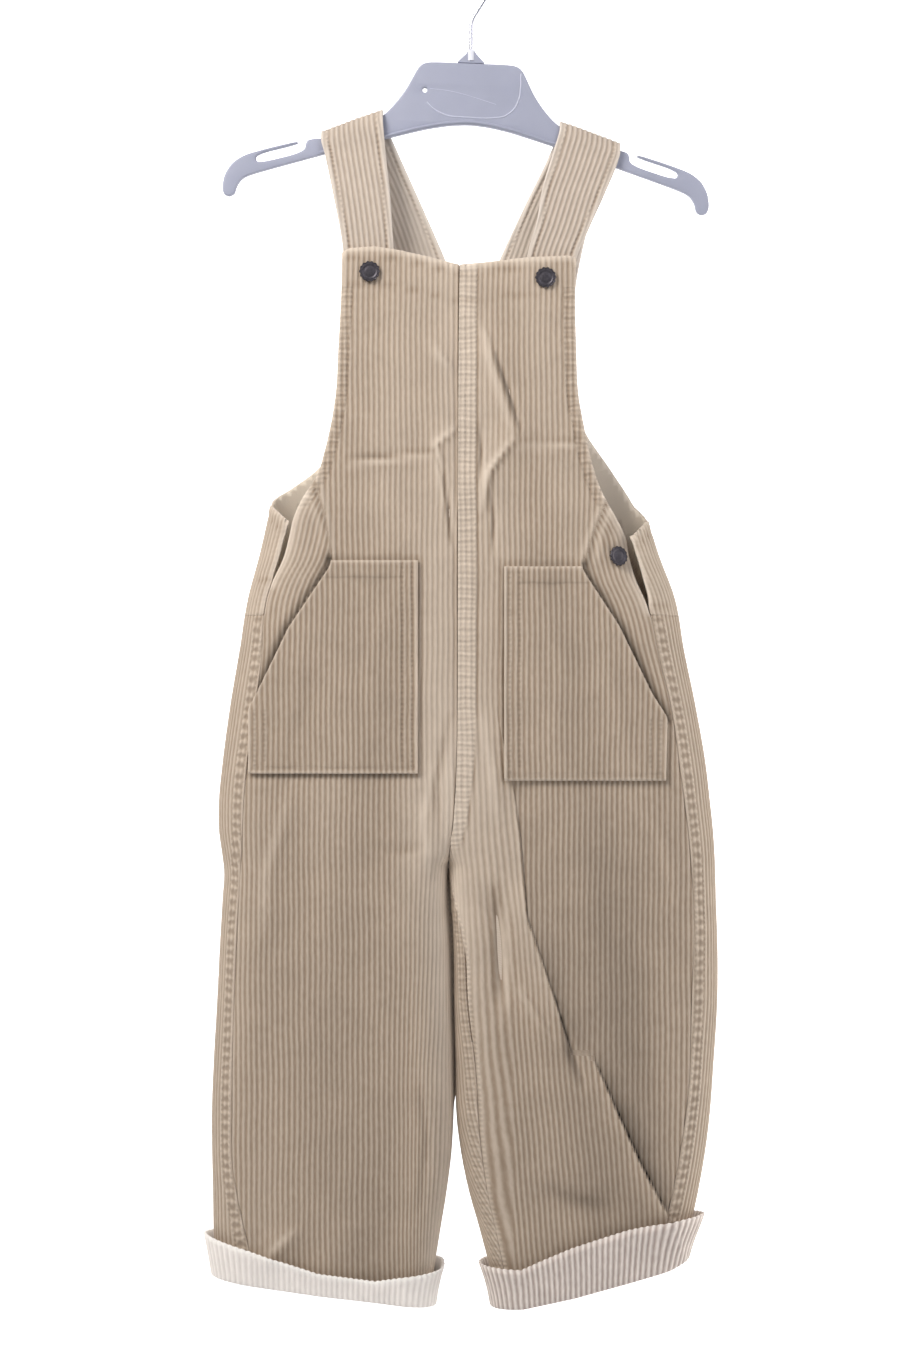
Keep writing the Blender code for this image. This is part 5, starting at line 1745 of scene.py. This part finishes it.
# %% The collar and the raised lines
COLLAR_LEVELS = ((8.0, 1.5, -0.6), (8.0, 1.5, 0.0), (3.1, 1.5, 5.0), (2.5, 1.5, 5.8), (2.2, 1.5, 6.4))


def collar():
    """A roof-shaped boss on the plate. The round socket for the wire is made after it, as a tube."""
    mesh = bmesh.new()
    rings = []
    for half_x, half_y, up in COLLAR_LEVELS:
        corners = ((-half_x, -half_y), (half_x, -half_y), (half_x, half_y), (-half_x, half_y))
        rings.append([mesh.verts.new((x * MM, y * MM, up * MM)) for x, y in corners])
    for a, b in zip(rings, rings[1:]):
        for k in range(4):
            mesh.faces.new((a[k], a[(k + 1) % 4], b[(k + 1) % 4], b[k]))
    mesh.faces.new(reversed(rings[0]))
    mesh.faces.new(rings[-1])
    bmesh.ops.bevel(mesh, geom=mesh.edges[:], offset=0.35 * MM, segments=2, affect="EDGES", profile=0.6)
    bmesh.ops.recalc_face_normals(mesh, faces=mesh.faces)
    mesh.transform(hanger_frame())
    data = bpy.data.meshes.new("collar_boss")
    mesh.to_mesh(data)
    mesh.free()
    data.materials.append(plastic)
    piece = placed("collar_boss", data)
    data.shade_smooth()
    data.set_sharp_from_angle(angle=math.radians(35))
    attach(piece, "root")
    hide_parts("hanger_collar")
    return piece


boss = collar()
socket_points = [(0.0, -COLLAR_BASE + 1.0), (0.0, -COLLAR_BASE + 7.2)]
socket_rim = tube("collar_socket", socket_points, 2.4, Matrix(), painted_bright_plastic)
print("collar:", boss.name, socket_rim.name)

# Embossed line on the front, in the hanger's own frame: x, drop
EMBOSS = ((30.2, 6.0), (30.4, 14.0), (29.6, 21.0), (26.6, 27.6), (21.4, 31.8), (14.0, 33.2), (0.0, 33.4),
          (-14.0, 32.4), (-20.4, 29.6), (-25.6, 25.2))
EMBOSS_ARC = ((-24.0, 17.0), (-12.0, 18.0), (4.0, 21.6), (16.0, 25.0))
front_face = -PLATE / 2


def on_plate(points, smooth_steps=5):
    xs = np.array([p[0] for p in points])
    ds = np.array([p[1] for p in points])
    length = np.concatenate([[0.0], np.cumsum(np.hypot(np.diff(xs), np.diff(ds)))])
    at = np.linspace(0, length[-1], len(points) * smooth_steps)
    run = zip(smooth(at, length, xs), smooth(at, length, ds))
    return [(float(x), float(-d), front_face) for x, d in run]


line_piece = tube("embossed_line", on_plate(EMBOSS), 0.45, hanger_frame(), painted_highlight_plastic)
arc_piece = tube("embossed_arc", on_plate(EMBOSS_ARC), 0.16, hanger_frame(), painted_highlight_plastic)
under = [(x, d - 1.5) for x, d in HANGER_UNDER]
under_run = [(-x, d) for x, d in under] + under[::-1][1:]
under_run = sorted(under_run)
rim_piece = tube("under_rim", on_plate(under_run, 4), 0.9, hanger_frame(), plastic)
print("hanger details:", line_piece.name, arc_piece.name, rim_piece.name)

# %% [markdown]
# ## Seam allowances
# Inside each seam lies the turned-in edge of the cloth. Without it a seam would be an open slit, and
# light would shine through its gap.

# %% Seam allowances
ALLOWANCE = 6.5
ALLOWANCE_STEP = 0.35
ALLOWANCE_THICK = 0.6
ALLOWANCE_ROW = 6.0
ALLOWANCE_END = 790.0
BOTH_SIDES = (-ALLOWANCE, -ALLOWANCE / 2, 0.0, ALLOWANCE / 2, ALLOWANCE)


def allowance(name, downs, lines):
    """lines are the strip's columns, each (half, s at each drop, on_front)."""
    outer, inner = [], []
    for half, s, on_front in lines:
        point = half.point(s, downs, on_front)
        normal = half.normal(s, downs, on_front)
        outer.append(point - normal * (WALL + ALLOWANCE_STEP))
        inner.append(point - normal * (WALL + ALLOWANCE_STEP + ALLOWANCE_THICK))
    return closed_strip(name, np.stack(outer + inner[::-1]))


def closed_strip(name, rings):
    points = rings.reshape(-1, 3)
    cut = points[:, [0, 2, 1]] * MM
    piece = mesh_piece(name, points, bar_faces(*rings.shape[:2]), cut, np.zeros(len(points)), False, None,
                       (wrong_side,))
    turn_outwards(piece)
    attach(piece, "root")
    return piece


# %% Where the allowances lie
def centre_allowance(name, on_front, first, last):
    downs = np.arange(first, last, ALLOWANCE_ROW)
    lines = []
    for side in ("left", "right"):
        half = HALF[side]
        total = half.per_row(half.total, downs)
        aways = (ALLOWANCE, ALLOWANCE / 2, 0.0) if side == "left" else (0.0, ALLOWANCE / 2, ALLOWANCE)
        for away in aways:
            lines.append((half, np.full(len(downs), away) if on_front else total - away, on_front))
    return allowance(name, downs, lines)


def side_allowance(side):
    half = HALF[side]
    downs = np.arange(PLACKET_END + 4, ALLOWANCE_END, ALLOWANCE_ROW)
    seam = half.per_row(half.s_of_x(front_edge(side, half.downs)), downs)
    lines = [(half, seam + away, True) for away in BOTH_SIDES]
    return allowance("allowance_side_" + side, downs, lines)


def inside_allowance(side):
    half = HALF[side]
    downs = np.arange(CROTCH + 4, ALLOWANCE_END, ALLOWANCE_ROW)
    seam = depth(side[0] + "_turn", downs)
    lines = [(half, seam + away, False) for away in BOTH_SIDES]
    return allowance("allowance_inside_" + side, downs, lines)


def gusset(name, on_front):
    """A narrow strip down the bottom of the middle seam, where it runs in between the legs."""
    downs = np.arange(516.0, 562.0, 4.0)
    half = HALF["right"]
    total = half.per_row(half.total, downs)
    x, y = half.at(np.zeros(len(downs)) if on_front else total, downs)
    y = np.minimum(y + 2.6, -0.2) if on_front else np.maximum(y - 2.6, 0.2)
    deeper = 0.8 if on_front else -0.8
    rings = np.stack([np.stack([x + away, y + step, -downs], axis=1)
                      for away, step in ((-3.0, 0.0), (0.0, 0.0), (3.0, 0.0),
                                         (3.0, deeper), (0.0, deeper), (-3.0, deeper))])
    return closed_strip(name, rings)


allowances = [centre_allowance("allowance_front", True, 200.0, 520.0),
              centre_allowance("allowance_back", False, 240.0, 520.0),
              gusset("gusset_front", True), gusset("gusset_back", False)]
for side in SIDES:
    allowances += [side_allowance(side), inside_allowance(side)]
print("seam allowances:", len(allowances))

# %% [markdown]
# ## Camera, floor and light
# The photo was taken from straight ahead, on white. A long paper sweep that glows a little at its
# far end gives that white behind the front view. A soft key from the upper left draws the ribs, and
# weaker lights at the sides round the legs off.

# %% Camera, paper and lights
VIEW_DISTANCE = 1.95
VIEW_CENTRE = (-0.0114, -0.4458)
VIEW_HEIGHT = 0.8136
camera_data = bpy.data.cameras.new("camera")
camera = placed("camera", camera_data)
camera.location = (VIEW_CENTRE[0], -VIEW_DISTANCE, VIEW_CENTRE[1])
camera.rotation_euler = (math.radians(90), 0, 0)
camera_data.sensor_fit = "VERTICAL"
camera_data.sensor_height = 36.0
camera_data.lens = camera_data.sensor_height * VIEW_DISTANCE / VIEW_HEIGHT
bpy.context.scene.camera = camera

FLOOR_DOWN = 1250.0
BACKDROP_AWAY = 6500.0


def studio_white():
    """Matt white paper, bright enough to burn out to white"""
    made, tree, shader = material("white_studio_paper")
    place = add(tree, "ShaderNodeTexCoord").outputs["Object"]
    grain = add(tree, "ShaderNodeTexNoise", Vector=place, Scale=3.0, Detail=2.0).outputs["Fac"]
    tree.links.new(mix(tree, grain, colour("f7f7f8"), colour("ffffff")), shader.inputs["Base Color"])
    away = add(tree, "ShaderNodeSeparateXYZ", i0=place).outputs["Y"]
    glow = add(tree, "ShaderNodeMapRange", Value=away, From_Min=0.3, From_Max=1.2, To_Min=0.0, To_Max=0.95)
    tree.links.new(glow.outputs[0], shader.inputs["Emission Strength"])
    shader.inputs["Roughness"].default_value = 0.9
    shader.inputs["Emission Color"].default_value = (1, 1, 1, 1)
    return made


# %% The paper sweep
def sweep_of_paper():
    """The floor, turned up behind into the backdrop in one smooth curve."""
    mesh = bmesh.new()
    radius = 1500.0
    profile = [(-6000.0, -FLOOR_DOWN), (BACKDROP_AWAY - radius, -FLOOR_DOWN)]
    for angle in np.linspace(0, math.pi / 2, 13)[1:]:
        profile.append((BACKDROP_AWAY - radius + radius * math.sin(angle),
                        -FLOOR_DOWN + radius * (1 - math.cos(angle))))
    profile.append((BACKDROP_AWAY, 5500.0))
    ends = [[mesh.verts.new((x * MM, y * MM, z * MM)) for y, z in profile] for x in (-7000.0, 7000.0)]
    for k in range(len(profile) - 1):
        mesh.faces.new((ends[0][k], ends[1][k], ends[1][k + 1], ends[0][k + 1]))
    data = bpy.data.meshes.new("paper_sweep")
    mesh.to_mesh(data)
    mesh.free()
    data.shade_smooth()
    data.materials.append(studio_white())
    piece = placed("paper_sweep", data)
    return piece


# %% The lights
def soft_light(name, place, aim, size, power, tint="ffffff"):
    lamp = bpy.data.lights.new(name, "AREA")
    lamp.shape = "RECTANGLE"
    lamp.size, lamp.size_y = size
    lamp.energy = power
    lamp.color = colour(tint)[:3]
    holder = placed(name, lamp)
    holder.location = place
    holder.rotation_euler = (Vector(aim) - Vector(place)).to_track_quat("-Z", "Y").to_euler()
    return holder


sweep_of_paper()
middle = (0.0, 0.0, -0.42)
soft_light("key", (-0.8, -0.85, 0.5), (0.0, 0.0, -0.1), (0.6, 0.6), 17.0, "fffaf4")
soft_light("fill", (0.9, -1.3, 0.55), (0.0, 0.1, -0.1), (0.9, 0.9), 8.0, "fbf9fd")
soft_light("left_edge", (-1.3, 0.3, -0.4), middle, (0.6, 1.6), 4.0, "fff8f4")
soft_light("right_edge", (1.3, 0.1, -0.5), middle, (0.6, 1.6), 11.0, "fffaf3")
world = bpy.data.worlds.new("studio")
world.use_nodes = True
world.node_tree.nodes["Background"].inputs["Color"].default_value = (1, 1, 1, 1)
world.node_tree.nodes["Background"].inputs["Strength"].default_value = 0.31
bpy.context.scene.world = world
bpy.context.scene.view_settings.view_transform = "Standard"
print("stage ready")
